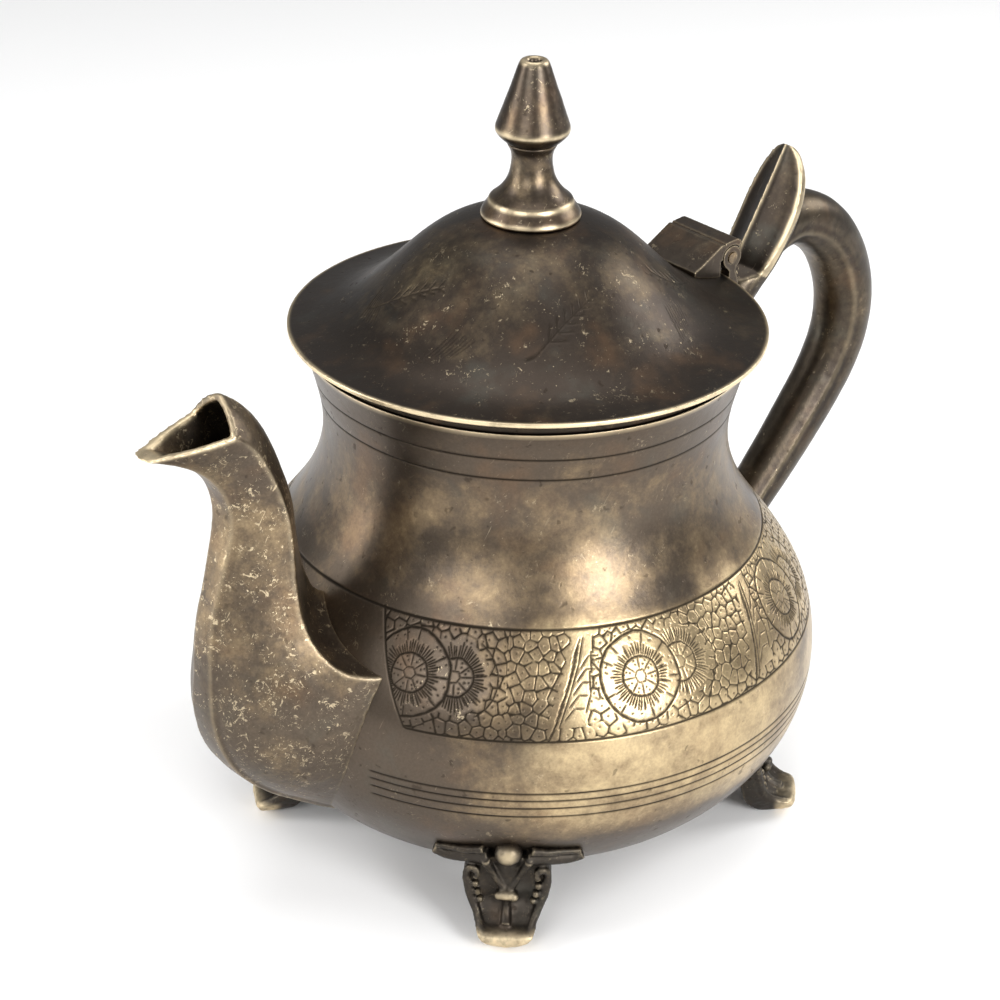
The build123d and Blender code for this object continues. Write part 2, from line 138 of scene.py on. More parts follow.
# ================================================================ mesh helpers
def new_mesh(name, verts_mm, quads=None, tris=None, attrs=None, shade=True):
    v = np.asarray(verts_mm, float) * MM
    q = np.zeros((0, 4), np.int32) if quads is None else np.asarray(quads, np.int32)
    t = np.zeros((0, 3), np.int32) if tris is None else np.asarray(tris, np.int32)
    me = bpy.data.meshes.new(name)
    me.vertices.add(len(v))
    me.vertices.foreach_set("co", v.astype(np.float32).ravel())
    loops = np.concatenate([q.ravel(), t.ravel()]).astype(np.int32)
    starts = np.concatenate([np.arange(len(q)) * 4, len(q) * 4 + np.arange(len(t)) * 3]).astype(np.int32)
    me.loops.add(len(loops))
    me.loops.foreach_set("vertex_index", loops)
    me.polygons.add(len(starts))
    me.polygons.foreach_set("loop_start", starts)
    me.update(calc_edges=True)
    me.validate()
    if shade:
        me.polygons.foreach_set("use_smooth", np.ones(len(me.polygons), bool))
    set_attrs(me, attrs)
    return me


def set_attrs(me, attrs):
    for k, a in (attrs or {}).items():
        at = me.attributes.get(k) or me.attributes.new(k, "FLOAT", "POINT")
        at.data.foreach_set("value", np.asarray(a, np.float32).ravel())


def add_object(name, me, material=None, body=None, replaces=()):
    o = bpy.data.objects.new(name, me)
    bpy.context.scene.collection.objects.link(o)
    if material:
        me.materials.clear()
        me.materials.append(material)
    if body:
        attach(o, body)
        if replaces:
            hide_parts(*replaces)
    return o


def co_of(me):
    a = np.zeros(len(me.vertices) * 3, np.float32)
    me.vertices.foreach_get("co", a)
    return a.reshape(-1, 3).astype(float) * 1000.0


def normals_of(me):
    a = np.zeros(len(me.vertices) * 3, np.float32)
    me.vertices.foreach_get("normal", a)
    return a.reshape(-1, 3).astype(float)


def set_co(me, v):
    me.vertices.foreach_set("co", (v * MM).astype(np.float32).ravel())
    me.update()


def edges_of(me):
    e = np.zeros(len(me.edges) * 2, np.int32)
    me.edges.foreach_get("vertices", e)
    return e.reshape(-1, 2)


def neighbour_mean(v, e, n):
    deg = np.bincount(e.ravel(), minlength=n).astype(float)
    out = np.empty_like(v)
    for c in range(v.shape[1]):
        out[:, c] = (np.bincount(e[:, 0], v[e[:, 1], c], n) + np.bincount(e[:, 1], v[e[:, 0], c], n)) / np.maximum(deg, 1)
    return out


def relax(me, times, lam=0.6, mu=-0.62):
    """Taubin smoothing: rounds edges without shrinking the form."""
    v, e = co_of(me), edges_of(me)
    for _ in range(times):
        v = v + lam * (neighbour_mean(v, e, len(v)) - v)
        v = v + mu * (neighbour_mean(v, e, len(v)) - v)
    set_co(me, v)


def soften(me, times, lam=0.5):
    v, e = co_of(me), edges_of(me)
    for _ in range(times):
        v = v + lam * (neighbour_mean(v, e, len(v)) - v)
    set_co(me, v)


def edge_wear(me, spread=3, gain=1.0):
    """0..1 on convex edges, from how far each vertex stands above its neighbours' mean, spread a little."""
    v, e, n = co_of(me), edges_of(me), normals_of(me)
    lap = neighbour_mean(v, e, len(v)) - v
    c = -(lap * n).sum(1)
    c = c[:, None]
    for _ in range(spread):
        c = 0.5 * c + 0.5 * neighbour_mean(c, e, len(v))
    return np.clip(c[:, 0] * gain, -1, 1)


def grid_quads(nu, nv, wrap_u=True, wrap_v=False):
    """Quads of a grid of nu columns and nv rows, vertex index = row * nu + column."""
    cu = np.arange(nu if wrap_u else nu - 1)
    rv = np.arange(nv if wrap_v else nv - 1)
    c, r = np.meshgrid(cu, rv)
    c, r = c.ravel(), r.ravel()
    c1, r1 = (c + 1) % nu, (r + 1) % nv
    return np.stack([r * nu + c, r * nu + c1, r1 * nu + c1, r1 * nu + c], 1)


def tube(rings):
    """Closed surface through rings (k, m, 3), capped with fans."""
    r = np.asarray(rings, float)
    k, m = r.shape[:2]
    v = np.concatenate([r.reshape(-1, 3), [r[0].mean(0)], [r[-1].mean(0)]])
    q = grid_quads(m, k)
    j = np.arange(m)
    a, b = k * m, k * m + 1
    t0 = np.stack([np.full(m, a), (j + 1) % m, j], 1)
    t1 = np.stack([np.full(m, b), (k - 1) * m + j, (k - 1) * m + (j + 1) % m], 1)
    return v, q, np.concatenate([t0, t1])


def merge(parts):
    vs, qs, ts, off = [], [], [], 0
    for v, q, t in parts:
        vs.append(v)
        if q is not None and len(q):
            qs.append(np.asarray(q) + off)
        if t is not None and len(t):
            ts.append(np.asarray(t) + off)
        off += len(v)
    return np.concatenate(vs), (np.concatenate(qs) if qs else None), (np.concatenate(ts) if ts else None)


def make_outward(me):
    bm = bmesh.new()
    bm.from_mesh(me)
    bmesh.ops.recalc_face_normals(bm, faces=bm.faces)
    bm.to_mesh(me)
    bm.free()


def evaluated(o):
    dg = bpy.context.evaluated_depsgraph_get()
    bpy.context.view_layer.update()
    dg.update()
    return bpy.data.meshes.new_from_object(o.evaluated_get(dg), depsgraph=dg)


def modded(me, *mods):
    """The mesh after a list of (type, {properties})."""
    o = bpy.data.objects.new("tmp", me)
    bpy.context.scene.collection.objects.link(o)
    extra = []
    for kind, props in mods:
        m = o.modifiers.new(kind, kind)
        for k, val in props.items():
            if isinstance(val, bpy.types.Mesh):
                t = bpy.data.objects.new("tmp_tool", val)
                bpy.context.scene.collection.objects.link(t)
                extra.append(t)
                val = t
            setattr(m, k, val)
    out = evaluated(o)
    for t in extra + [o]:
        bpy.data.objects.remove(t)
    return out


def voxel(me, size_mm):
    out = modded(me, ("REMESH", {"mode": "VOXEL", "voxel_size": size_mm * MM, "adaptivity": 0.0}))
    out.polygons.foreach_set("use_smooth", np.ones(len(out.polygons), bool))
    return out


def boolean(me, tool, op="DIFFERENCE"):
    return modded(me, ("BOOLEAN", {"operation": op, "solver": "EXACT", "object": tool}))


def ellipsoid(c, r, rot=0.0, n=28):
    """c centre, r radii, rot about z in radians."""
    th = np.linspace(0, math.pi, n)[1:-1]
    ph = np.linspace(0, 2 * math.pi, 2 * n, endpoint=False)
    rings = []
    for t in th:
        x, y, z = r[0] * math.sin(t) * np.cos(ph), r[1] * math.sin(t) * np.sin(ph), np.full(len(ph), r[2] * math.cos(t))
        rings.append(np.stack([c[0] + x * math.cos(rot) - y * math.sin(rot), c[1] + x * math.sin(rot) + y * math.cos(rot), c[2] + z], 1))
    return tube(rings)


def sweep(path, radii, flat=1.0, m=20, up=(0, 0, 1)):
    """Round bar along path (k, 3) with radii (k,); flat squashes it along the second frame axis."""
    p = np.asarray(path, float)
    r = np.broadcast_to(np.asarray(radii, float), (len(p),))
    tan = np.gradient(p, axis=0)
    tan /= np.linalg.norm(tan, axis=1)[:, None]
    upv = np.array(up, float)
    a = np.cross(tan, upv)
    a /= np.maximum(np.linalg.norm(a, axis=1)[:, None], 1e-9)
    b = np.cross(a, tan)
    ph = np.linspace(0, 2 * math.pi, m, endpoint=False)
    rings = p[:, None] + r[:, None, None] * (np.cos(ph)[None, :, None] * a[:, None] + flat * np.sin(ph)[None, :, None] * b[:, None])
    return tube(rings)


# ================================================================ shape numbers, as in the CAD
BODY = [(44.0, 8.0), (52.3, 10.4), (60.4, 15.0), (67.3, 21.2), (76.0, 33.1), (79.6, 45.0), (79.7, 56.9), (76.6, 68.8),
        (69.3, 80.7), (60.5, 92.6), (54.9, 104.5), (53.2, 116.3), (55.1, 128.2), (58.2, 137.7)]
LID = [(0.0, 171.6), (8.0, 171.4), (12.7, 170.9), (18.0, 169.3), (24.0, 166.3), (30.0, 161.6), (36.0, 155.9),
       (42.0, 150.4), (47.0, 146.7), (52.0, 144.4), (57.0, 143.2), (62.0, 142.6)]
BODY_C = cubic(BODY, 3000, (1, 0.05), (0.45, 1))
LID_C = cubic(LID, 2000, (1, 0), (1, -0.08))
BODY_S = np.concatenate([[0], np.cumsum(np.linalg.norm(np.diff(BODY_C, axis=0), axis=1))])


def body_r(z):
    return np.interp(z, BODY_C[:, 1], BODY_C[:, 0])


def body_solid(shrink=0.0, n=220, top=200.0):
    """Filled form of the vessel for seating cast parts on it, its surface moved in by shrink."""
    c = BODY_C[::40]
    t = np.gradient(c, axis=0)
    t /= np.linalg.norm(t, axis=1)[:, None]
    c = c - shrink * np.stack([t[:, 1], -t[:, 0]], 1)
    az = np.linspace(0, 2 * math.pi, n, endpoint=False)
    rings = [np.stack([r * np.cos(az), r * np.sin(az), np.full(n, z)], 1) for r, z in c]
    return new_mesh("form", *tube(rings), shade=False)


# ================================================================ materials
def node(nt, kind, ins=None, **props):
    n = nt.nodes.new(kind)
    for k, v in props.items():
        setattr(n, k, v)
    for k, v in (ins or {}).items():
        s = n.inputs[k]
        if isinstance(v, bpy.types.NodeSocket):
            nt.links.new(v, s)
        else:
            s.default_value = v
    return n


def mth(nt, op, a, b=0.0, clamp=False):
    return node(nt, "ShaderNodeMath", {0: a, 1: b}, operation=op, use_clamp=clamp).outputs[0]


def mixc(nt, f, a, b, mode="MIX"):
    n = node(nt, "ShaderNodeMix", {0: f}, data_type="RGBA", blend_type=mode, clamp_factor=True)
    for k, v in ((6, a), (7, b)):
        if isinstance(v, bpy.types.NodeSocket):
            nt.links.new(v, n.inputs[k])
        else:
            n.inputs[k].default_value = (*v, 1.0)
    return n.outputs[2]


def step(nt, x, a, b, to0=0.0, to1=1.0):
    return node(nt, "ShaderNodeMapRange", {0: x, 1: a, 2: b, 3: to0, 4: to1}, interpolation_type="SMOOTHSTEP").outputs[0]


def tex(nt, co, size_mm, detail=4.0, rough=0.55, dist=0.0, seed=0.0, stretch=None, rot=None):
    if stretch or rot:
        co = node(nt, "ShaderNodeMapping", {0: co, 2: rot or (0, 0, 0), 3: stretch or (1, 1, 1)}).outputs[0]
    off = node(nt, "ShaderNodeVectorMath", {0: co, 1: (seed * 0.0731, seed * 0.0517, seed * 0.0293)}, operation="ADD").outputs[0]
    return node(nt, "ShaderNodeTexNoise", {"Vector": off, "Scale": 1000.0 / size_mm, "Detail": detail, "Roughness": rough, "Distortion": dist}).outputs[0]


def streaks(nt, co, length, width, rot, lo, hi, seed, dist=0.25):
    """Short tapering marks, all roughly along one direction: a noise drawn out along it and kept only at its peaks."""
    r = node(nt, "ShaderNodeMapping", {0: co, 2: rot, 3: (1.0, 1.0, 1.0)}).outputs[0]
    r = node(nt, "ShaderNodeMapping", {0: r, 2: (0, 0, 0), 3: (width / length, 1.0, 1.0)}).outputs[0]
    a = tex(nt, r, width, 2.0, 0.45, dist, seed)
    return step(nt, a, lo, hi)


def brass(name, dark=(0.105, 0.082, 0.062), mid=(0.235, 0.172, 0.105), gold=(0.56, 0.43, 0.25), light=(0.78, 0.64, 0.42),
          rub_and_highlight=0.0, rough=0.40, scratch=0.5, scratch_lo=0.52, patch=38.0, grain=0.5, pits=0.5, wear=1.0, groove_dark=(0.018, 0.014, 0.010), bumpy=1.0):
    m = bpy.data.materials.new(name)
    m.use_nodes = True
    nt = m.node_tree
    nt.nodes.clear()
    co = node(nt, "ShaderNodeTexCoord").outputs["Object"]

    def attr(k):
        return node(nt, "ShaderNodeAttribute", attribute_name=k).outputs["Fac"]

    a_rub_and_highlight, a_groove, a_edge, a_scr = attr("rub_and_highlight"), attr("groove"), attr("edge"), attr("scratch")
    n1 = tex(nt, co, patch, 5.0, 0.60, 0.5, 1.0)
    n2 = tex(nt, co, patch * 0.24, 6.0, 0.65, 0.3, 2.0)
    n3 = tex(nt, co, 2.2, 5.0, 0.65, 0.0, 3.0)
    n4 = tex(nt, co, 0.7, 3.0, 0.6, 0.0, 4.0)
    f = mth(nt, "ADD", mth(nt, "MULTIPLY", mth(nt, "SUBTRACT", n1, 0.5), 1.5), mth(nt, "MULTIPLY", mth(nt, "SUBTRACT", n2, 0.5), 1.25))
    f = mth(nt, "ADD", f, mth(nt, "MULTIPLY", mth(nt, "SUBTRACT", n3, 0.5), 0.55))
    # the per-vertex gold lift is rubbed patina, and on the vessel also painted highlight and painted reflection
    f = mth(nt, "ADD", mth(nt, "ADD", f, a_rub_and_highlight), rub_and_highlight)
    col = mixc(nt, step(nt, f, 0.0, 0.62), dark, mid)
    col = mixc(nt, step(nt, f, 0.40, 1.10), col, gold)
    # reddish and greenish drifts in the patina
    hue = tex(nt, co, 17.0, 3.0, 0.6, 0.2, 9.0)
    col = mixc(nt, step(nt, hue, 0.52, 0.75, 0.0, 0.30), col, (0.20, 0.115, 0.062))
    col = mixc(nt, step(nt, hue, 0.46, 0.28, 0.0, 0.16), col, (0.10, 0.115, 0.10))
    # fine grain and dark specks
    col = mixc(nt, mth(nt, "MULTIPLY", step(nt, n4, 0.35, 0.65, 0.0, 1.0), 0.30 * grain), col, (0.035, 0.028, 0.022))
    spots = tex(nt, co, 3.1, 2.0, 0.5, 0.2, 11.0)
    pit = mth(nt, "MULTIPLY", step(nt, spots, 0.66, 0.74), pits)
    col = mixc(nt, mth(nt, "MULTIPLY", pit, 0.75), col, (0.040, 0.030, 0.022))
    # scratches: fine ones in four directions and clusters of short curled flecks
    s1 = streaks(nt, co, 9.0, 0.75, (0.3, 1.1, 0.4), 0.70, 0.76, 21.0)
    s2 = streaks(nt, co, 6.0, 0.65, (0.9, -0.5, 1.3), 0.70, 0.76, 31.0)
    s3 = streaks(nt, co, 4.2, 0.60, (-0.6, 0.2, 2.2), 0.69, 0.75, 41.0, 0.6)
    s4 = streaks(nt, co, 2.6, 0.75, (1.4, 0.8, 0.2), 0.66, 0.72, 51.0, 1.4)
    m1 = step(nt, tex(nt, co, 16.0, 4.0, 0.65, 0.4, 26.0), scratch_lo, scratch_lo + 0.12)
    m2 = step(nt, tex(nt, co, 7.0, 4.0, 0.7, 0.5, 36.0), scratch_lo, scratch_lo + 0.10)
    s = mth(nt, "MAXIMUM", mth(nt, "MULTIPLY", mth(nt, "MAXIMUM", s1, s2), mth(nt, "MAXIMUM", m1, 0.25)), mth(nt, "MULTIPLY", mth(nt, "MAXIMUM", s3, s4), m2))
    flecks = mth(nt, "MULTIPLY", step(nt, tex(nt, co, 2.4, 4.0, 0.72, 1.2, 61.0), 0.575, 0.63), m2)
    s = mth(nt, "MAXIMUM", s, mth(nt, "MULTIPLY", flecks, 0.75))
    s = mth(nt, "MULTIPLY", s, mth(nt, "ADD", a_scr, scratch), clamp=True)
    col = mixc(nt, mth(nt, "MULTIPLY", s, 0.85), col, light)
    # worn edges and dirt in the cuts
    ew = mth(nt, "MULTIPLY", a_edge, wear)
    ew = mth(nt, "MULTIPLY", ew, step(nt, n2, 0.25, 0.55, 0.55, 1.0), clamp=True)
    col = mixc(nt, ew, col, light)
    col = mixc(nt, mth(nt, "MULTIPLY", a_groove, 0.93), col, groove_dark)
    rgh = mth(nt, "ADD", rough, mth(nt, "MULTIPLY", mth(nt, "SUBTRACT", n2, 0.5), 0.22))
    rgh = mth(nt, "SUBTRACT", rgh, mth(nt, "MULTIPLY", step(nt, f, 0.4, 0.95), 0.06))
    rgh = mth(nt, "ADD", rgh, mth(nt, "MULTIPLY", mth(nt, "MAXIMUM", a_groove, pit), 0.25))
    h = mth(nt, "ADD", mth(nt, "MULTIPLY", n3, 0.55), mth(nt, "MULTIPLY", n4, 0.25))
    h = mth(nt, "SUBTRACT", h, mth(nt, "MULTIPLY", pit, 0.6))
    h = mth(nt, "SUBTRACT", h, mth(nt, "MULTIPLY", s, 0.5))
    h = mth(nt, "ADD", h, mth(nt, "MULTIPLY", tex(nt, co, 9.0, 3.0, 0.5, 0.0, 13.0), 1.6))
    bump = node(nt, "ShaderNodeBump", {"Strength": 0.30 * bumpy, "Distance": 0.00022, "Height": h}).outputs[0]
    p = node(nt, "ShaderNodeBsdfPrincipled", {"Base Color": col, "Metallic": 1.0, "Roughness": rgh, "Normal": bump})
    node(nt, "ShaderNodeOutputMaterial", {"Surface": p.outputs[0]})
    return m


M_BODY = brass("patinated_brass", rub_and_highlight=0.0, rough=0.36, scratch=0.35, scratch_lo=0.56, patch=42.0, pits=0.6)
M_INNER = brass("inside_patina", dark=(0.045, 0.036, 0.028), mid=(0.10, 0.078, 0.05), gold=(0.20, 0.15, 0.08), rub_and_highlight=-0.1, rough=0.55, scratch=0.1, pits=1.0)
M_LID = brass("lid_brass", dark=(0.047, 0.037, 0.030), mid=(0.108, 0.082, 0.054), gold=(0.36, 0.27, 0.15), rub_and_highlight=-0.04, rough=0.40, scratch=0.40, scratch_lo=0.55, patch=30.0, pits=0.7)
M_SPOUT = brass("spout_brass", rub_and_highlight=0.05, rough=0.42, scratch=0.75, scratch_lo=0.46, patch=34.0, pits=0.5, grain=0.8)
M_HANDLE = brass("handle_brass", dark=(0.040, 0.032, 0.026), mid=(0.090, 0.069, 0.048), gold=(0.36, 0.27, 0.16), rub_and_highlight=-0.05, rough=0.38, scratch=0.35, scratch_lo=0.56, patch=30.0, pits=0.6)
M_HINGE = brass("hinge_brass", dark=(0.065, 0.052, 0.041), mid=(0.15, 0.115, 0.078), gold=(0.40, 0.31, 0.18), rub_and_highlight=-0.02, rough=0.42, scratch=0.3, patch=14.0, pits=0.6)
M_FINIAL = brass("finial_brass", dark=(0.075, 0.058, 0.044), mid=(0.18, 0.135, 0.085), rub_and_highlight=0.10, rough=0.36, scratch=0.45, scratch_lo=0.52, patch=18.0, pits=0.5)
M_FOOT = brass("foot_brass", dark=(0.050, 0.043, 0.036), mid=(0.12, 0.095, 0.066), rub_and_highlight=-0.05, rough=0.50, scratch=0.2, patch=9.0, pits=1.0, bumpy=1.6)
M_PIN = brass("pin_brass", rub_and_highlight=0.35, rough=0.36, scratch=0.4, patch=5.0, pits=0.4)

# ================================================================ vessel with its engraved band
BAND_TOP, BAND_BOT = 87.4, 63.9
N_AZ = 2100
rng = np.random.RandomState(7)


def s_of_z(z):
    return np.interp(z, BODY_C[:, 1], BODY_S)


def ring_points(cx, cy, r, n, jitter, a0=0.0):
    a = a0 + np.linspace(0, 2 * math.pi, n, endpoint=False) + rng.uniform(-0.10, 0.10, n)
    rr = r * (1 + rng.uniform(-jitter, jitter, n))
    return np.stack([cx + rr * np.cos(a), cy + rr * np.sin(a)], 1)


def loop_segs(pts, w, d, bow=0.0, cx=0.0, cy=0.0):
    """Closed outline; bow pushes each side's middle outwards for a scalloped ring."""
    out = []
    for p, q in zip(pts, np.roll(pts, -1, axis=0)):
        mid = (p + q) / 2
        c = np.array([cx, cy])
        mid = c + (mid - c) * (1 + bow)
        out += [(*p, *mid, w, d), (*mid, *q, w, d)]
    return out


def flower(cx, cy, r_disc, r_fringe, r_ring, keep):
    segs, dots = [], []
    segs += loop_segs(ring_points(cx, cy, r_disc, 11, 0.04), 0.26, 0.22, 0.03, cx, cy)
    core = ring_points(cx, cy, r_disc * 0.33, 6, 0.15)
    segs += loop_segs(core, 0.16, 0.13)
    for k in range(8):
        a = 2 * math.pi * k / 8 + rng.uniform(-0.15, 0.15)
        segs.append((cx + r_disc * 0.36 * math.cos(a), cy + r_disc * 0.36 * math.sin(a), cx + r_disc * 0.98 * math.cos(a), cy + r_disc * 0.98 * math.sin(a), 0.16, 0.14))
        for rr in (0.62, 0.82):
            b = a + 2 * math.pi / 16 + rng.uniform(-0.1, 0.1)
            dots.append((cx + r_disc * rr * math.cos(b), cy + r_disc * rr * math.sin(b), 0.22, 0.14))
    n = 58
    for k in range(n):
        a = 2 * math.pi * k / n + rng.uniform(-0.02, 0.02)
        r0, r1 = r_disc * 1.04, r_fringe * rng.uniform(0.86, 1.06)
        t = rng.uniform(-0.03, 0.03)
        segs.append((cx + r0 * math.cos(a), cy + r0 * math.sin(a), cx + r1 * math.cos(a + t), cy + r1 * math.sin(a + t), 0.17, 0.20))
    if r_ring:
        segs += loop_segs(ring_points(cx, cy, r_ring, 12, 0.03), 0.30, 0.24, 0.04, cx, cy)
        for k in range(9):
            a = 2 * math.pi * k / 9 + rng.uniform(-0.2, 0.2)
            r0 = r_fringe * 1.02
            segs.append((cx + r0 * math.cos(a), cy + r0 * math.sin(a), cx + r_ring * math.cos(a), cy + r_ring * math.sin(a), 0.20, 0.16))
            for _ in range(2):
                b = a + rng.uniform(0.2, 0.6)
                rr = (r_fringe + r_ring) / 2 * rng.uniform(0.97, 1.05)
                dots.append((cx + rr * math.cos(b), cy + rr * math.sin(b), 0.22, 0.14))
    segs = [s for s in segs if keep((s[0] + s[2]) / 2, (s[1] + s[3]) / 2)]
    dots = [d for d in dots if keep(d[0], d[1])]
    return segs, dots


def band_tile(x, y, half_w):
    """Cut depth over one repeat of the band. x along the band from the big flower's centre, y up the wall, mm."""
    ax_, ay_ = 0.0, 0.9
    bx_, by_ = 12.2, 1.8
    segs, dots = flower(ax_, ay_, 5.1, 8.2, 11.2, lambda u, v: True)
    s2, d2 = flower(bx_, by_, 5.0, 8.6, None, lambda u, v: math.hypot(u - ax_, v - ay_) > 11.5)
    segs += s2
    dots += d2
    arc = [(bx_ + 11.6 * math.cos(a), by_ + 10.8 * math.sin(a)) for a in np.linspace(-1.0, 1.0, 8)]
    segs += [(*p, *q, 0.2, 0.16) for p, q in zip(arc, arc[1:])]
    # leaf between two pairs: a rib, its hatching on the left and open chevrons on the right
    rib = [(-14.6, 12.4), (-16.6, 6.0), (-19.4, -1.0), (-22.6, -9.6)]
    segs += [(*p, *q, 0.20, 0.18) for p, q in zip(rib, rib[1:])]
    for k in range(13):
        t = k / 12
        px, py = np.interp(t, [0, 0.33, 0.66, 1], [p[0] for p in rib]), np.interp(t, [0, 0.33, 0.66, 1], [p[1] for p in rib])
        j = rng.uniform(-0.3, 0.3)
        segs.append((px - 0.9, py - 0.3, px - 3.2 + j, py - 4.6 + j, 0.17, 0.17))
    for k in range(5):
        px, py = -16.2 - 1.25 * k, 5.0 - 3.2 * k
        segs += [(px, py, px + 2.6, py + 2.9, 0.18, 0.15), (px + 2.6, py + 2.9, px + 5.0, py + 2.7, 0.18, 0.15)]
    edge = [(-11.6, 12.6), (-12.3, 8.6), (-12.8, 8.8), (-13.4, 3.8), (-13.9, 4.0), (-14.2, -1.6), (-15.8, -6.0)]
    segs += [(*p, *q, 0.20, 0.17) for p, q in zip(edge, edge[1:])]
    cut = seg_groove(x, y, segs)
    # crazed cells with a punched dot in each, everywhere the figures leave room
    gap = 3.15
    px, py = np.meshgrid(np.arange(-half_w - 6, half_w + 6, gap), np.arange(-17, 18, gap))
    seeds = np.stack([px.ravel() + 1.5 * (np.arange(px.size) // px.shape[1] % 2), py.ravel()], 1) + rng.uniform(-1.05, 1.05, (px.size, 2))
    d1 = np.full(x.shape, 1e9)
    d2_ = np.full(x.shape, 1e9)
    for sx, sy in seeds:
        d = np.hypot(x - sx, y - sy)
        d2_ = np.minimum(d2_, np.maximum(d, d1))
        d1 = np.minimum(d1, d)
    free = (np.hypot(x - ax_, y - ay_) > 11.6) & (np.hypot(x - bx_, y - by_) > 9.4)
    leaf = (x > np.interp(y, [-10, 12], [-26.0, -18.0])) & (x < np.interp(y, [-6, 12], [-15.4, -11.8])) & (y > -9.5)
    free &= ~leaf
    line = np.exp(-((d2_ - d1) / 0.40) ** 2) * 0.16
    skip = noise(np.stack([x.ravel() * 1.0, y.ravel(), np.full(x.size, 3.0)], 1), 2.4, 5, 1).reshape(x.shape)
    line *= smooth(skip, -0.75, -0.35)
    cell = np.maximum(line, 0.12 * np.exp(-(d1 / 0.24) ** 2))
    cut = np.maximum(cut, np.where(free, cell, 0))
    for dx, dy, r, dep in dots:
        near = (abs(x - dx) < 1) & (abs(y - dy) < 1)
        cut[near] = np.maximum(cut[near], dep * np.exp(-(((x[near] - dx) ** 2 + (y[near] - dy) ** 2) / r ** 2)))
    return cut


def rows_between(z0, z1, pitch):
    s0, s1 = s_of_z(z0), s_of_z(z1)
    n = max(1, int(round((s1 - s0) / pitch)))
    return np.interp(np.linspace(s0, s1, n, endpoint=False), BODY_S, BODY_C[:, 1])


fine, mid_p, wide = ((0.215, 0.25, 1.5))
LINES = [49.6, 47.4, 45.0, 42.2]
NECK_LINES = [129.6, 123.5]
zs = [rows_between(8.0, 41.4, wide), rows_between(41.4, 50.4, mid_p), rows_between(50.4, 63.0, wide), rows_between(63.0, 88.3, fine),
      rows_between(88.3, 122.8, wide), rows_between(122.8, 124.2, mid_p), rows_between(124.2, 128.9, wide), rows_between(128.9, 130.3, mid_p),
      rows_between(130.3, 137.0, 1.0), np.array([137.0, 137.35, 137.55, 137.7])]
zs = np.concatenate(zs)
outer_s = s_of_z(zs)
outer_r = np.interp(outer_s, BODY_S, BODY_C[:, 0])
nr = len(zs)
az = np.linspace(0, 2 * math.pi, N_AZ, endpoint=False)
deg = np.degrees(az)
AZ, ZZ = np.meshgrid(az, zs)
DEG = np.degrees(AZ)
RR = np.repeat(outer_r[:, None], N_AZ, 1)
SS = np.repeat(outer_s[:, None], N_AZ, 1)
cut = np.zeros_like(RR)
# rings turned round the wall, wandering slightly as a hand-held graver does
wob = 0.10 * np.sin(3 * AZ + 0.7) + 0.07 * np.sin(7 * AZ + 2.0)


def turned(z, w, d, wobble=1.0, mask=1.0):
    return d * np.exp(-((SS - s_of_z(z) + wob * wobble) / w) ** 2) * mask


from_spout = np.abs(DEG - 180.0)
band_start = 20.6 - 0.46 * (ZZ - 81.0)
keep_band = smooth(from_spout, 0.0, 0.5) * smooth(from_spout - band_start, -0.2, 0.3)
keep_low = smooth(from_spout, 21.5, 23.0)
for z in LINES:
    cut = np.maximum(cut, turned(z, 0.24, 0.16, 1.0, keep_low))
for z in NECK_LINES:
    cut = np.maximum(cut, turned(z, 0.25, 0.13, 1.2))
cut = np.maximum(cut, turned(BAND_TOP, 0.30, 0.20, 1.0))
cut = np.maximum(cut, turned(BAND_BOT, 0.30, 0.20, 1.0, keep_band))
# upright border lines of the band beside the spout
border = 0.16 * np.exp(-(((from_spout - band_start) * math.pi / 180 * RR) / 0.28) ** 2) * ((ZZ > BAND_BOT) & (ZZ < BAND_TOP + 0.5))
cut = np.maximum(cut, border)
band = (zs > BAND_BOT - 0.2) & (zs < BAND_TOP + 0.2)
bi = np.where(band)[0]
period = 45.0
for k in range(8):
    a_c = 209.0 + period * k - (1.5 if k == 0 else 0.0)
    x = ((DEG[bi] - a_c + 180.0) % 360.0) - 180.0
    cols = np.where((x[0] > -27.0) & (x[0] <= 18.0))[0] if k else np.where((x[0] > -14.0) & (x[0] <= 19.5))[0]
    xr = x[:, cols] * math.pi / 180 * 76.0
    if k == 7:
        cols = np.where((x[0] > -27.0) & (x[0] <= -1.0))[0]
        xr = x[:, cols] * math.pi / 180 * 76.0
    y = SS[bi][:, cols] - s_of_z(75.6)
    t = band_tile(xr, y, 31.0)
    t *= (keep_band[bi][:, cols]) * smooth(SS[bi][:, cols], s_of_z(BAND_BOT), s_of_z(BAND_BOT) + 0.5) * smooth(-SS[bi][:, cols], -s_of_z(BAND_TOP), -s_of_z(BAND_TOP) + 0.5)
    sub = cut[np.ix_(bi, cols)]
    cut[np.ix_(bi, cols)] = np.maximum(sub, t)
P0 = np.stack([RR * np.cos(AZ), RR * np.sin(AZ), ZZ], -1).reshape(-1, 3)
wave = 0.10 * noise(P0, 34.0, 3, 2) + 0.035 * noise(P0, 9.0, 8, 2)
fade = np.clip((137.2 - ZZ.ravel()) / 3.0, 0, 1) * np.clip((ZZ.ravel() - 8.0) / 2.0, 0, 1)
disp = wave * fade - cut.ravel()
tn = np.gradient(BODY_C, axis=0)
tn /= np.linalg.norm(tn, axis=1)[:, None]
nr_, nz_ = np.interp(outer_s, BODY_S, tn[:, 1]), np.interp(outer_s, BODY_S, -tn[:, 0])
NR, NZ = np.repeat(nr_[:, None], N_AZ, 1).ravel(), np.repeat(nz_[:, None], N_AZ, 1).ravel()
RO, ZO = RR.ravel() + NR * disp, ZZ.ravel() + NZ * disp
OUT = np.stack([RO * np.cos(AZ.ravel()), RO * np.sin(AZ.ravel()), ZO], 1)
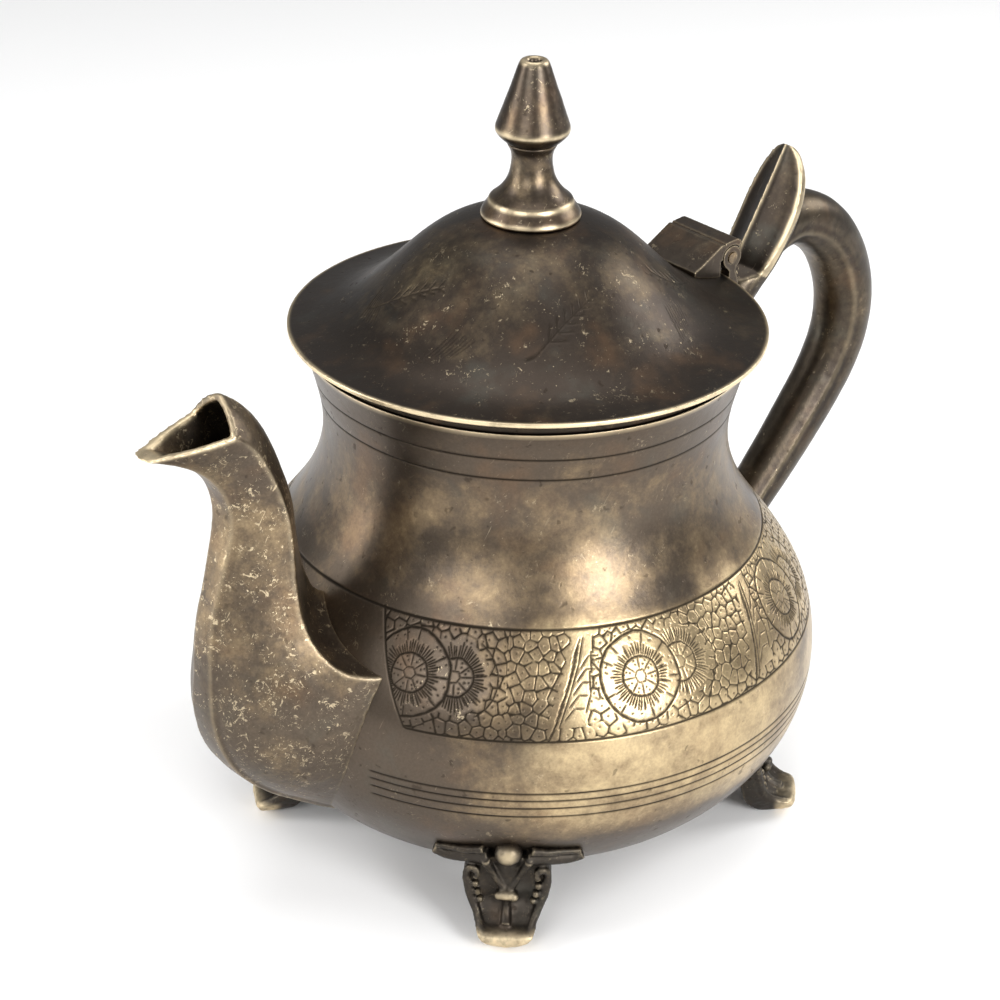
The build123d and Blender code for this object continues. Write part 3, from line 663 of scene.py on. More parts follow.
# lip, inner wall and the edge round the bottom disc
inner_c = BODY_C[:: 150]
it = np.gradient(inner_c, axis=0)
it /= np.linalg.norm(it, axis=1)[:, None]
inner_c = inner_c - 1.6 * np.stack([it[:, 1], -it[:, 0]], 1)
inner_c = inner_c[(inner_c[:, 1] < 128.5) & (inner_c[:, 1] > 10.2)][::-1]
rest = np.concatenate([[(57.9, 137.7), (56.2, 137.7), (55.75, 137.5), (55.6, 137.2), (55.6, 133.8)], inner_c, [(44.0, 9.6)]])
caz = np.cos(az)[None, :, None]
IN = np.stack([rest[:, 0][:, None] * np.cos(az)[None], rest[:, 0][:, None] * np.sin(az)[None], np.repeat(rest[:, 1][:, None], N_AZ, 1)], -1).reshape(-1, 3)
VB = np.concatenate([OUT, IN])
rows = nr + len(rest)
# how far the patina is rubbed through, mixed with painted light: golden lower belly and band, partly a painted
# highlight and painted reflection; a lighter shoulder band, partly a painted highlight; darker near the spout, towards
# the bottom and up the neck
side = from_spout
rub_and_painted_light = (0.05 + 0.55 * smooth(ZZ, 26, 36) * (1 - smooth(ZZ, 86, 92)) * smooth(side, 30, 62)
        + 0.26 * smooth(ZZ, 88, 96) * (1 - smooth(ZZ, 112, 124)) - 0.10 * smooth(ZZ, 118, 130)
        - 0.55 * (1 - smooth(ZZ, 27, 42)) - 0.10 * (1 - smooth(side, 26, 46)) * smooth(ZZ, 26, 50))
# more gold on the lower belly and on the band away from the spout: rubbed patina together with a painted highlight
rub_and_painted_light += 0.22 * smooth(ZZ, 30, 42) * (1 - smooth(ZZ, 60, 64)) * smooth(side, 40, 66) + 0.34 * smooth(ZZ, 62, 64) * (1 - smooth(ZZ, 86, 89)) * smooth(side, 56, 66)
groove = np.clip(cut / 0.11, 0, 1) ** 0.8
lipw = np.clip((ZZ - 136.6) / 0.9, 0, 1) * 0.8
attrs = {"rub_and_highlight": np.concatenate([rub_and_painted_light.ravel(), np.full(len(IN), -0.1)]), "groove": np.concatenate([groove.ravel(), np.zeros(len(IN))]),
         "edge": np.concatenate([lipw.ravel(), np.zeros(len(IN))]),
         "scratch": np.concatenate([(0.5 * smooth(ZZ, 60, 66) * (1 - smooth(ZZ, 86, 90)) * smooth(DEG, 205, 215)).ravel(), np.zeros(len(IN))])}
vessel = new_mesh("vessel", VB, grid_quads(N_AZ, rows, True, True), None, attrs)
vessel_obj = add_object("vessel_wall", vessel, M_BODY, "pot", ("body_vessel",))
vessel.materials.append(M_INNER)
pm = np.zeros(len(vessel.polygons), np.int32)
first_inner = (nr + 5) * N_AZ
pm[first_inner:] = 1
vessel.polygons.foreach_set("material_index", pm)
vessel.update()
vb_lo, vb_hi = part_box("body_vessel")
print("vessel", len(vessel.vertices), "verts; CAD top", round(vb_hi.z * 1000, 2), "mesh top", round(float(VB[:, 2].max()), 2))

# ================================================================ lid
lid_segs = []


def sprig(x0, y0, x1, y1, n, length, w=0.24, d=0.14, spread=0.75):
    """Curved stem with paired leaflets, in (azimuth arc, slope length) mm on the lid."""
    ang = math.atan2(y1 - y0, x1 - x0)
    l = math.hypot(x1 - x0, y1 - y0)
    pts = []
    for k in range(13):
        t = k / 12
        off = 0.07 * l * math.sin(math.pi * t)
        pts.append((x0 + (x1 - x0) * t - off * math.sin(ang), y0 + (y1 - y0) * t + off * math.cos(ang)))
    segs = [(*p, *q, w, d) for p, q in zip(pts, pts[1:])]
    for k in range(n):
        t = 0.22 + 0.72 * k / (n - 1)
        i = t * 12
        px = np.interp(i, range(13), [p[0] for p in pts])
        py = np.interp(i, range(13), [p[1] for p in pts])
        ll = length * (1 - 0.55 * t)
        for s in (-1, 1):
            a = ang + s * spread
            segs.append((px, py, px + ll * math.cos(a), py + ll * math.sin(a), w * 0.9, d * 0.9))
            a2 = ang + s * spread * 0.6
            segs.append((px + ll * 0.5 * math.cos(a), py + ll * 0.5 * math.sin(a), px + ll * (0.5 * math.cos(a) + 0.45 * math.cos(a2)), py + ll * (0.5 * math.sin(a) + 0.45 * math.sin(a2)), w * 0.7, d * 0.7))
    return segs


LID_S = np.concatenate([[0], np.cumsum(np.linalg.norm(np.diff(LID_C, axis=0), axis=1))])
NL = 1500
r_rows = [np.linspace(1.5, 20, 16, endpoint=False), np.linspace(20, 56, 150, endpoint=False), np.linspace(56, 61.2, 14, endpoint=False), np.array([61.2, 61.6, 61.9])]
lr = np.concatenate(r_rows)
ls = np.interp(lr, LID_C[:, 0], LID_S)
lz = np.interp(lr, LID_C[:, 0], LID_C[:, 1])
laz = np.linspace(0, 2 * math.pi, NL, endpoint=False)
LA, LR = np.meshgrid(laz, lr)
LS = np.repeat(ls[:, None], NL, 1)
LZ = np.repeat(lz[:, None], NL, 1)
LD = np.degrees(LA)
lcut = np.zeros_like(LR)
S36 = float(np.interp(36, LID_C[:, 0], LID_S))
for k in range(5):
    a_c = 245.0 + 72.0 * k
    x = (((LD - a_c + 180) % 360) - 180) * math.pi / 180 * 36.0
    y = S36 - LS
    flip = 1 if k % 2 == 0 else -1
    segs = sprig(-8.0 * flip, -7.5, 8.5 * flip, 6.5, 6, 5.2)
    segs += [(-8.0 * flip, -7.5, -9.8 * flip, -8.6, 0.4, 0.16)]
    lcut = np.maximum(lcut, seg_groove(x, y, segs))
for a_c, dirn in ((200.0, 1), (163.0, -1), (292.0, 1), (66.0, -1), (340.0, 1), (20.0, -1)):
    x = (((LD - a_c + 180) % 360) - 180) * math.pi / 180 * 44.0
    y = S36 + 8 - LS
    segs = [(-3.0 + 1.1 * k, -4.0 + 0.3 * k, (-3.0 + 1.1 * k) + dirn * 4.5, 5.5 - 0.4 * k, 0.20, 0.09) for k in range(7)]
    lcut = np.maximum(lcut, seg_groove(x, y, segs))
# a gentle waviness over the dome and brim, left flat round the hinge
PL = np.stack([LR * np.cos(LA), LR * np.sin(LA), LZ], -1).reshape(-1, 3)
lwave = 0.12 * noise(PL, 26.0, 17, 2) + 0.04 * noise(PL, 7.0, 18, 2)
lwave = lwave.reshape(LR.shape) * smooth(LR, 13, 18)
brim_wave = 0.35 * np.sin(2 * LA + 0.4) * smooth(LR, 50, 62) * 0.4 + 0.15 * np.sin(5 * LA) * smooth(LR, 52, 62) * 0.5
lt = np.gradient(LID_C, axis=0)
lt /= np.linalg.norm(lt, axis=1)[:, None]
lnr, lnz = np.interp(ls, LID_S, -lt[:, 1]), np.interp(ls, LID_S, lt[:, 0])
hinge_keep = 1 - smooth(np.hypot(LR * np.cos(LA) - 58, LR * np.sin(LA)), 16, 26)
ld = (lwave + brim_wave * 0.25) * (1 - hinge_keep) - lcut
LRo, LZo = LR + lnr[:, None] * ld, LZ + lnz[:, None] * ld
top = np.stack([LRo * np.cos(LA), LRo * np.sin(LA), LZo], -1).reshape(-1, 3)
edge_z = (brim_wave * 0.25 * (1 - hinge_keep))[-1]
under_c = LID_C[::-1][::60]
ut = np.gradient(under_c, axis=0)
ut /= np.linalg.norm(ut, axis=1)[:, None]
under_c = under_c - 1.3 * np.stack([ut[:, 1], -ut[:, 0]], 1)
under_c = under_c[(under_c[:, 0] < 60.8) & (under_c[:, 0] > 2.0)]
if under_c[:, 1].mean() > np.interp(under_c[:, 0], LID_C[:, 0], LID_C[:, 1]).mean():
    under_c = LID_C[::-1][::60] + 1.3 * np.stack([ut[:, 1], -ut[:, 0]], 1)
    under_c = under_c[(under_c[:, 0] < 60.8) & (under_c[:, 0] > 2.0)]
rim_c = np.array([(62.0, 142.45), (62.02, 142.2), (62.02, 141.75), (61.95, 141.5), (61.6, 141.3)])
lrest = np.concatenate([rim_c, under_c, [(1.5, 170.25)]])
lk = np.ones(len(lrest))
LI = np.stack([lrest[:, 0][:, None] * np.cos(laz)[None], lrest[:, 0][:, None] * np.sin(laz)[None],
               lrest[:, 1][:, None] + np.where(lrest[:, 0] > 50, (lrest[:, 0] - 50) / 12, 0)[:, None] * edge_z[None]], -1).reshape(-1, 3)
LV = np.concatenate([top, LI])
lgro = np.clip(lcut / 0.10, 0, 1)
ledge = np.concatenate([(smooth(LR, 61.0, 61.9) * 0.75).ravel(), np.repeat([1.0, 1.0, 1.0, 1.0, 0.5] + [0.0] * (len(lrest) - 5), NL)])
# golden brown dome, darker brim
lrub = 0.26 * smooth(LR, 14, 22) * (1 - smooth(LR, 40, 47)) * (0.6 + 0.4 * np.cos(np.radians(LD - 225))) - 0.02
latt = {"rub_and_highlight": np.concatenate([lrub.ravel(), np.full(len(LI), 0.0)]), "groove": np.concatenate([lgro.ravel() * 0.6, np.zeros(len(LI))]),
        "edge": ledge, "scratch": np.concatenate([(0.25 * smooth(LR, 20, 28) * (1 - smooth(LR, 44, 50))).ravel(), np.zeros(len(LI))])}
lid = new_mesh("lid", LV, grid_quads(NL, len(lr) + len(lrest), True, True)[:, ::-1], None, latt)
lid_obj = add_object("lid_shell", lid, M_LID, "lid", ("lid_dome",))
lid.materials.append(M_INNER)
pm = np.zeros(len(lid.polygons), np.int32)
pm[(len(lr) + 5) * NL:] = 1
lid.polygons.foreach_set("material_index", pm)


# ================================================================ finial
def turned_piece(name, prof, material, replaces, n=220, seed=1, edge_pts=()):
    """prof is a closed (r, z) outline that keeps off the axis."""
    p = np.array(prof, float)
    pts = []
    for a, b in zip(p, np.roll(p, -1, axis=0)):
        k = max(1, int(np.linalg.norm(b - a) / 0.35))
        pts += [a + (b - a) * i / k for i in range(k)]
    pts = np.array(pts)
    for _ in range(3):
        pts = 0.5 * pts + 0.25 * (np.roll(pts, 1, axis=0) + np.roll(pts, -1, axis=0))
    a = np.linspace(0, 2 * math.pi, n, endpoint=False)
    v = np.stack([pts[:, 0][:, None] * np.cos(a)[None], pts[:, 0][:, None] * np.sin(a)[None], np.repeat(pts[:, 1][:, None], n, 1)], -1).reshape(-1, 3)
    out_w = np.clip((np.repeat(pts[:, 0], n) - 2.4) / 1.5, 0, 1)[:, None]
    nrm = v * np.array([1, 1, 0])
    nrm /= np.maximum(np.linalg.norm(nrm, axis=1)[:, None], 1e-9)
    v += nrm * out_w * (0.07 * noise(v, 5.0, seed, 2) + 0.02 * noise(v * np.array([0.2, 0.2, 6.0]), 4.0, seed + 4, 1))[:, None]
    e = np.zeros(len(v))
    for ez, er, w in edge_pts:
        e = np.maximum(e, np.exp(-((v[:, 2] - ez) / w) ** 2) * (np.hypot(v[:, 0], v[:, 1]) > er))
    me = new_mesh(name, v, grid_quads(n, len(pts), True, True), None, {"edge": e * (0.75 + 0.4 * noise(v, 3.0, seed + 9, 2))})
    make_outward(me)
    return add_object(name, me, material, "lid", replaces)


stem_p = [(1.5, 171.7), (12.0, 171.1), (12.7, 171.0), (12.9, 171.8), (12.5, 172.8), (11.7, 174.0), (11.1, 174.9), (10.75, 175.3), (10.9, 175.7), (10.4, 176.2),
          (9.0, 177.3), (7.8, 178.6), (6.8, 180.0), (6.0, 181.6), (5.5, 183.3), (5.25, 184.8), (5.15, 186.4), (5.25, 187.6), (5.6, 188.8), (6.1, 189.6), (6.6, 190.5), (1.5, 190.5)]
turned_piece("finial_stem_turned", stem_p, M_FINIAL, ("finial_stem",), seed=31, edge_pts=((175.5, 10.2, 0.5), (172.0, 12.4, 0.5)))
knob_p = [(1.5, 190.6), (6.4, 190.6), (7.0, 190.9), (8.6, 192.4), (9.3, 193.3), (9.55, 194.1), (9.4, 194.9), (8.9, 196.2), (7.6, 199.9), (5.7, 205.3),
          (4.2, 209.7), (3.65, 211.2), (3.3, 211.75), (2.6, 211.8), (1.9, 211.5), (1.5, 210.6)]
turned_piece("finial_cone_turned", knob_p, M_FINIAL, ("finial_knob",), seed=51, edge_pts=((194.0, 9.0, 0.7), (211.6, 1.9, 0.6)))

# ================================================================ spout
FRONT = [(-28, 12), (-38, 12.5), (-48, 14), (-58, 17), (-67, 21.2), (-77.5, 27.9), (-87.7, 35.2), (-94.2, 41.3), (-99.1, 48.1),
         (-101.9, 55), (-103.3, 62), (-103.4, 69), (-103.0, 76.5), (-102.3, 85), (-100.8, 93), (-99.1, 99),
         (-97.4, 105.6), (-95.9, 112), (-95.9, 119), (-98.8, 126.4), (-104.2, 132.0), (-110.7, 135.8), (-118.5, 138.9), (-127, 142.2)]
BACK = [(-34, 77), (-44, 80), (-56, 83), (-63.5, 84.3), (-67.8, 86.0), (-70.6, 90.5), (-72.6, 97), (-74.6, 108), (-76.5, 119.3),
        (-78.6, 125.6), (-83.1, 136.5), (-89.1, 144.5), (-95.2, 149.0), (-104, 153.9), (-114, 158.8), (-121, 162.2)]
STATIONS = [
    (-50.0, 70.0, 29.0, 97, 6.0, 1.00, -1.0), (-62.0, 72.3, 29.0, 84, 6.0, 1.00, -1.6), (-69.8, 74.1, 28.0, 70, 6.0, 1.00, -2.2),
    (-75.8, 75.6, 24.8, 54, 5.6, 0.95, -2.6), (-79.3, 78.8, 21.2, 36, 4.6, 0.85, -2.6), (-81.7, 84.1, 17.4, 18, 3.8, 0.70, -1.8),
    (-82.9, 90.7, 14.9, 7, 3.5, 0.58, -0.7), (-83.0, 98.4, 13.0, 2, 3.6, 0.50, 0.1), (-82.8, 108.0, 11.7, 4, 4.0, 0.42, 0.6),
    (-83.3, 115.6, 11.0, 9, 4.3, 0.34, 0.9), (-84.7, 121.5, 10.5, 18, 4.3, 0.28, 1.0), (-87.4, 128.7, 10.0, 32, 4.1, 0.25, 1.1),
    (-90.2, 134.2, 9.6, 43, 3.9, 0.25, 1.1), (-93.8, 138.7, 9.35, 51, 3.8, 0.33, 1.1), (-97.5, 141.5, 9.3, 55, 3.7, 0.42, 1.1),
    (-105.0, 146.6, 9.2, 56.5, 3.5, 0.60, 1.0), (-112.5, 151.7, 9.1, 57.5, 3.4, 0.70, 1.0)]
FRONT_L, BACK_L = cubic(FRONT, 400), cubic(BACK, 320)


def line_hit(curve, p, d):
    e = np.diff(curve, axis=0)
    c0 = curve[:-1] - np.array(p)
    den = d[0] * e[:, 1] - d[1] * e[:, 0]
    den = np.where(abs(den) < 1e-12, 1e-12, den)
    t = (c0[:, 0] * e[:, 1] - c0[:, 1] * e[:, 0]) / den
    u = (c0[:, 0] * d[1] - c0[:, 1] * d[0]) / den
    ok = (t > 0) & (u >= -1e-6) & (u <= 1 + 1e-6)
    return float(t[ok].min()) if ok.any() else 10.0


st = np.array(STATIONS, float)
n_st = 150
par = np.linspace(0, 1, n_st + 1)
path_all = cubic(np.concatenate([st[:, :2], st[:, 2:3], st[:, 3:4] * 0.3, st[:, 4:5], st[:, 5:6] * 5, st[:, 6:7]], 1), par)
outer_rings, inner_rings = [], []
for row in path_all:
    mx, mz, w, ang, q, full, bulge = row[0], row[1], row[2], row[3] / 0.3, row[4], row[5] / 5, row[6]
    dx, dz = math.cos(math.radians(ang)), math.sin(math.radians(ang))
    tb, tf = line_hit(BACK_L, (mx, mz), (dx, dz)), line_hit(FRONT_L, (mx, mz), (-dx, -dz))
    a = np.linspace(0, 1, 19)[:-1]
    bl = math.hypot(tb, w)
    back = np.stack([tb * (1 - a) + bulge * 4 * a * (1 - a) * w / bl, w * a + bulge * 4 * a * (1 - a) * tb / bl], 1)
    a = np.linspace(0, 1, 37)[:-1]
    lin = w + (q - w) * a
    sup = w * (1 - np.minimum(a, 1) ** 2.4) ** (1 / 1.9)
    flank = np.stack([-tf * a, (1 - full) * lin + full * np.maximum(sup, lin)], 1)
    a = np.linspace(0, 1, 7)
    facet = np.stack([-tf - 0.25 * np.sin(math.pi / 2 * a), q * (1 - a)], 1)
    half = np.concatenate([back, flank, facet])
    half[0, 1] = 0.0
    whole = np.concatenate([half, half[1:-1][::-1] * np.array([1, -1])])
    tg = np.roll(whole, -1, axis=0) - np.roll(whole, 1, axis=0)
    tg /= np.maximum(np.linalg.norm(tg, axis=1)[:, None], 1e-9)
    nrm = np.stack([tg[:, 1], -tg[:, 0]], 1)
    area = np.sum(np.roll(whole, 1, axis=0)[:, 0] * whole[:, 1] - whole[:, 0] * np.roll(whole, 1, axis=0)[:, 1])
    inn = whole - (1.8 if area > 0 else -1.8) * nrm
    for src, dst in ((whole, outer_rings), (inn, inner_rings)):
        dst.append(np.stack([mx + src[:, 0] * dx, src[:, 1], mz + src[:, 0] * dz], 1))
spout_solid = new_mesh("sp", *tube(outer_rings), shade=False)
spout_bore = new_mesh("spb", *tube(inner_rings[:1] + inner_rings[1:]), shade=False)
make_outward(spout_solid)
make_outward(spout_bore)


def prism_y(points, y0, y1):
    p = np.array(points, float)
    rings = [np.stack([p[:, 0], np.full(len(p), y), p[:, 1]], 1) for y in (y0, y1)]
    me = new_mesh("prism", *tube(rings), shade=False)
    make_outward(me)
    return me


# the bore runs a little past the end of the outer form, so the mouth is open
bore_end = np.array(inner_rings[-1])
step_v = (np.array(inner_rings[-1]).mean(0) - np.array(inner_rings[-8]).mean(0))
step_v /= np.linalg.norm(step_v)
bore2 = [np.array(inner_rings[0]) + (np.array(inner_rings[0]) - np.array(inner_rings[3])).mean(0) * 2.0] + inner_rings + [bore_end + step_v * 6.0]
spout_bore = new_mesh("spb2", *tube(bore2), shade=False)
make_outward(spout_bore)
# rounded hood and level beak
hood = [(-96.9, 141.0), (-96.1, 144.2), (-95.2, 147.6), (-93.6, 152.0), (-90.0, 172.0), (-140.0, 172.0), (-150.0, 134.2), (-119.6, 138.15), (-112.0, 138.95), (-104.0, 140.0)]
mouth = prism_y(hood, -40, 40)
pot_form = body_solid(0.5)
make_outward(pot_form)
VOX = 0.42
s1 = boolean(voxel(spout_solid, VOX), voxel(spout_bore, VOX * 1.3))
s1 = boolean(s1, mouth)
s1 = boolean(s1, pot_form)
print("spout booleans", len(s1.vertices))
spout = voxel(s1, VOX)
soften(spout, 2, 0.5)
relax(spout, 2)
# the cut rim of the mouth is filed smooth
v, e = co_of(spout), edges_of(spout)
hood_z = np.interp(-v[:, 0], [90.0, 93.6, 96.9, 119.6], [170.0, 152.0, 141.0, 138.15])
near_rim = (np.clip(1.4 - np.abs(v[:, 2] - hood_z) / 3.0, 0, 1) * (v[:, 0] < -92.5) * (v[:, 2] > 134))[:, None]
for _ in range(12):
    v = v + 0.60 * near_rim * (neighbour_mean(v, e, len(v)) - v)
    v = v - 0.62 * near_rim * (neighbour_mean(v, e, len(v)) - v)
set_co(spout, v)
v, nn = co_of(spout), normals_of(spout)
v = v + nn * (0.16 * noise(v, 12.0, 61, 3) + 0.05 * noise(v, 2.5, 62, 2))[:, None]
set_co(spout, v)
ew = edge_wear(spout, 3, 9.0 * 0.42 / VOX)
v = co_of(spout)
rim = np.exp(-np.maximum(0, np.abs(v[:, 2] - np.interp(-v[:, 0], [96.9, 104.0, 112.0, 119.8], [141.0, 140.0, 138.95, 138.15])) - 0.3) ** 2 / 0.5) * (v[:, 0] < -96.5)
inside = (np.abs(v[:, 1]) < 6.5) & (v[:, 0] > -101) & (v[:, 2] > 20)
e_sp = np.clip(np.maximum(np.clip(ew, 0, 1), rim * 0.9), 0, 1)
scr = 0.25 * smooth(v[:, 2], 60, 84) * (1 - smooth(v[:, 2], 122, 134)) - 0.35 * (1 - smooth(v[:, 2], 36, 56)) - 0.3 * smooth(v[:, 0], -80, -74)
rub_sp = 0.16 * smooth(v[:, 2], 62, 86) * (1 - smooth(v[:, 2], 116, 130)) - 0.04
set_attrs(spout, {"edge": e_sp, "scratch": scr, "rub_and_highlight": rub_sp})
print("spout", len(spout.vertices))


def half_of(me, side, name):
    bm = bmesh.new()
    bm.from_mesh(me)
    geom = bm.verts[:] + bm.edges[:] + bm.faces[:]
    res = bmesh.ops.bisect_plane(bm, geom=geom, plane_co=(0, 0, 0), plane_no=(0, side, 0), clear_inner=True, clear_outer=False)
    cut_edges = [e for e in bm.edges if e.is_boundary]
    bmesh.ops.holes_fill(bm, edges=cut_edges, sides=0)
    for f in bm.faces:
        if len(f.verts) > 4:
            f.smooth = False
    for e in bm.edges:
        if any(len(f.verts) > 4 for f in e.link_faces):
            e.smooth = False
    out = bpy.data.meshes.new(name)
    bm.to_mesh(out)
    bm.free()
    return out


add_object("spout_left_cast", half_of(spout, 1, "spl"), M_SPOUT, "pot", ("spout_left_half",))
add_object("spout_right_cast", half_of(spout, -1, "spr"), M_SPOUT, "pot", ("spout_right_half",))

# ================================================================ handle with its thumb leaf
HANDLE = [
    (49.0, 118.5, 11.0, 12.0), (60.0, 122.6, 11.0, 13.0), (69.2, 128.2, 11.4, 14.0), (75.6, 135.0, 12.0, 14.8), (81.2, 142.2, 13.0, 15.4),
    (88.0, 147.2, 14.6, 15.8), (95.6, 148.4, 15.6, 16.0), (102.8, 146.0, 16.2, 16.2), (111.2, 139.4, 16.6, 16.2), (117.0, 130.4, 17.0, 16.0),
    (120.3, 119.0, 17.2, 15.8), (119.4, 107.2, 17.2, 15.4), (114.4, 96.0, 16.8, 15.0), (106.8, 85.5, 16.2, 14.4), (98.2, 75.2, 15.4, 13.8),
    (89.5, 65.5, 14.2, 13.2), (81.0, 56.6, 12.8, 12.6), (72.0, 49.0, 12.4, 12.2)]
hp = cubic(HANDLE, 150)
ht = np.gradient(hp[:, :2], axis=0)
ht /= np.linalg.norm(ht, axis=1)[:, None]
ho = np.stack([-ht[:, 1], ht[:, 0]], 1)
ph = np.linspace(0, 2 * math.pi, 72, endpoint=False)
LEAF_BASE, LEAF_TIP = np.array((74.6, 139.4)), np.array((92.0, 169.8))
LEAF = np.array([(-9.0, 6.6, 2.6, 6.0), (-2.0, 7.8, 3.4, 5.6), (5.0, 8.9, 4.3, 4.6), (12.0, 9.5, 4.7, 3.6), (19.0, 9.5, 4.6, 3.0), (25.0, 8.6, 4.0, 2.6),
                 (29.5, 7.1, 3.0, 2.2), (32.4, 5.4, 2.0, 1.8), (34.4, 3.6, 1.2, 1.3), (35.5, 1.5, 0.6, 0.9)])
ld_ = (LEAF_TIP - LEAF_BASE) / np.linalg.norm(LEAF_TIP - LEAF_BASE)
ln_ = np.array([-ld_[1], ld_[0]])


def behind_leaf(ring):
    """Press a ring of the loop back under the leaf's face wherever it would stand through it."""
    rel = ring[:, [0, 2]] - LEAF_BASE
    along, out = rel @ ld_, rel @ ln_
    k = np.interp(along, LEAF[:, 0], LEAF[:, 2])
    y = np.clip(np.abs(ring[:, 1]) / np.interp(along, LEAF[:, 0], LEAF[:, 1]), 0, 1)
    limit = np.where(along > -14.0, -k + 0.94 * k * (1 - y) ** 1.55 - 0.1 + 0.8 * np.maximum(0.0, 1.5 - along), 99.0)
    push = np.minimum(limit - out, 0.0)
    ring[:, 0] += ln_[0] * push
    ring[:, 2] += ln_[1] * push
    return ring


rings = []
for (x, z, t, w), (ox, oz) in zip(hp, ho):
    c, s = np.cos(ph), np.sin(ph)
    # round back, flattened sides that meet the hollow inner face at a soft ridge
    aa = 0.50 * t * np.sign(c) * np.abs(c) ** np.where(c > 0, 0.92, 0.80)
    bb = 0.50 * w * np.sign(s) * np.abs(s) ** 0.94 * (1 - 0.10 * np.clip(-c, 0, 1))
    ridge = np.exp(-((c + 0.28) / 0.13) ** 2) * 0.42
    bb = bb + np.sign(s) * ridge * np.abs(s)
    rings.append(behind_leaf(np.stack([x + ox * aa, bb, z + oz * aa], 1)))
loop_part = tube(rings)
lrings = []
for s_, hw, keel, back_ in cubic(LEAF, 110):
    c = LEAF_BASE + ld_ * s_ - ln_ * keel
    y = np.linspace(-1, 1, 41)
    front = keel * np.abs(1 - np.abs(y)) ** 1.55 * 0.94 + 0.7 + 0.6 * np.abs(y) ** 6
    front = front + 0.55 * np.exp(-(y * hw / 0.55) ** 2)
    bk = -back_ * np.sqrt(np.clip(1 - y ** 2, 0, 1)) - 0.7
    f_ = np.stack([c[0] + ln_[0] * front, hw * y, c[1] + ln_[1] * front], 1)
    b_ = np.stack([c[0] + ln_[0] * bk, hw * y, c[1] + ln_[1] * bk], 1)[::-1]
    lrings.append(np.concatenate([f_, b_]))
leaf_part = tube(lrings)
# blend between the leaf's back and the loop
web = sweep(cubic([(76.5, 0, 141.0), (83.0, 0, 149.6), (86.0, 0, 156.0)], 16), np.linspace(5.5, 2.6, 17), 0.7, 24, (0, 1, 0))
web = (behind_leaf(np.array(web[0], float)), web[1], web[2])
h0 = new_mesh("h0", *merge([loop_part]), shade=False)
h1 = new_mesh("h1", *merge([leaf_part]), shade=False)
h2 = new_mesh("h2", *merge([web]), shade=False)
for m_ in (h0, h1, h2):
    make_outward(m_)
hm = boolean(boolean(h0, h1, "UNION"), h2, "UNION")
hm = boolean(hm, pot_form)
handle = voxel(hm, VOX)
soften(handle, 2, 0.5)
relax(handle, 2)
v, nn = co_of(handle), normals_of(handle)
v = v + nn * (0.14 * noise(v, 10.0, 71, 3) + 0.03 * noise(v, 2.2, 72, 2))[:, None]
set_co(handle, v)
ew = edge_wear(handle, 3, 8.0 * 0.42 / VOX)
v = co_of(handle)
e_h = np.clip(ew * 0.9, 0, 1)
s_leaf = (v[:, 0] - LEAF_BASE[0]) * ld_[0] + (v[:, 2] - LEAF_BASE[1]) * ld_[1]
o_leaf = (v[:, 0] - LEAF_BASE[0]) * ln_[0] + (v[:, 2] - LEAF_BASE[1]) * ln_[1]
on_leaf = (s_leaf > 0) & (o_leaf > -5.5) & (v[:, 0] < 95)
hw_at = np.interp(s_leaf, LEAF[:, 0], LEAF[:, 1])
e_leaf = np.exp(-((np.abs(v[:, 1]) - hw_at + 0.35) / 0.55) ** 2) * on_leaf * np.where(v[:, 1] < 0, 1.0, 0.3)
ridge_leaf = np.exp(-(v[:, 1] / 0.35) ** 2) * on_leaf * (o_leaf > -1.0) * 0.7
rub_h = np.where(on_leaf, -0.05 + 0.30 * smooth(s_leaf, 24, 30), 0.0) + 0.10 * smooth(v[:, 2], 90, 120) * (v[:, 0] > 95)
inner_h = 0.30 * np.exp(-((np.hypot(v[:, 0] - 92, v[:, 2] - 108) - 27) / 7.0) ** 2) * (v[:, 0] > 92) * (v[:, 2] > 95)
set_attrs(handle, {"edge": np.clip(np.maximum(np.maximum(e_h, e_leaf), ridge_leaf), 0, 1), "rub_and_highlight": rub_h + inner_h, "scratch": np.where(v[:, 2] < 95, 0.2, 0.0)})
add_object("handle_cast", handle, M_HANDLE, "pot", ("handle",))
print("handle", len(handle.vertices))


# ================================================================ hinge, from the CAD solids with worn edges
def worn_copy(cad_name, name, vox, material, body, soften_n=1, gain=9.0, amp=0.03, seed=5, low=0.0):
    src = NODES[cad_name].data.copy()
    src = modded(src, ("WELD", {"merge_threshold": 1e-6}))
    me = voxel(src, vox)
    soften(me, soften_n, 0.5)
    relax(me, 1)
    v, nn = co_of(me), normals_of(me)
    v = v + nn * (amp * noise(v, 3.0, seed, 2))[:, None]
    set_co(me, v)
    set_attrs(me, {"edge": np.clip(edge_wear(me, 2, gain * 0.42 / vox) - low, 0, 1)})
    return add_object(name, me, material, body, (cad_name,))


HV = 0.22
block = worn_copy("lid_hinge_block", "hinge_wedge_cast", HV, M_HINGE, "lid", 1, 5.0, 0.04, 81)
bracket = worn_copy("hinge_bracket", "hinge_bracket_cast", HV, M_HINGE, "pot", 1, 5.0, 0.03, 82)


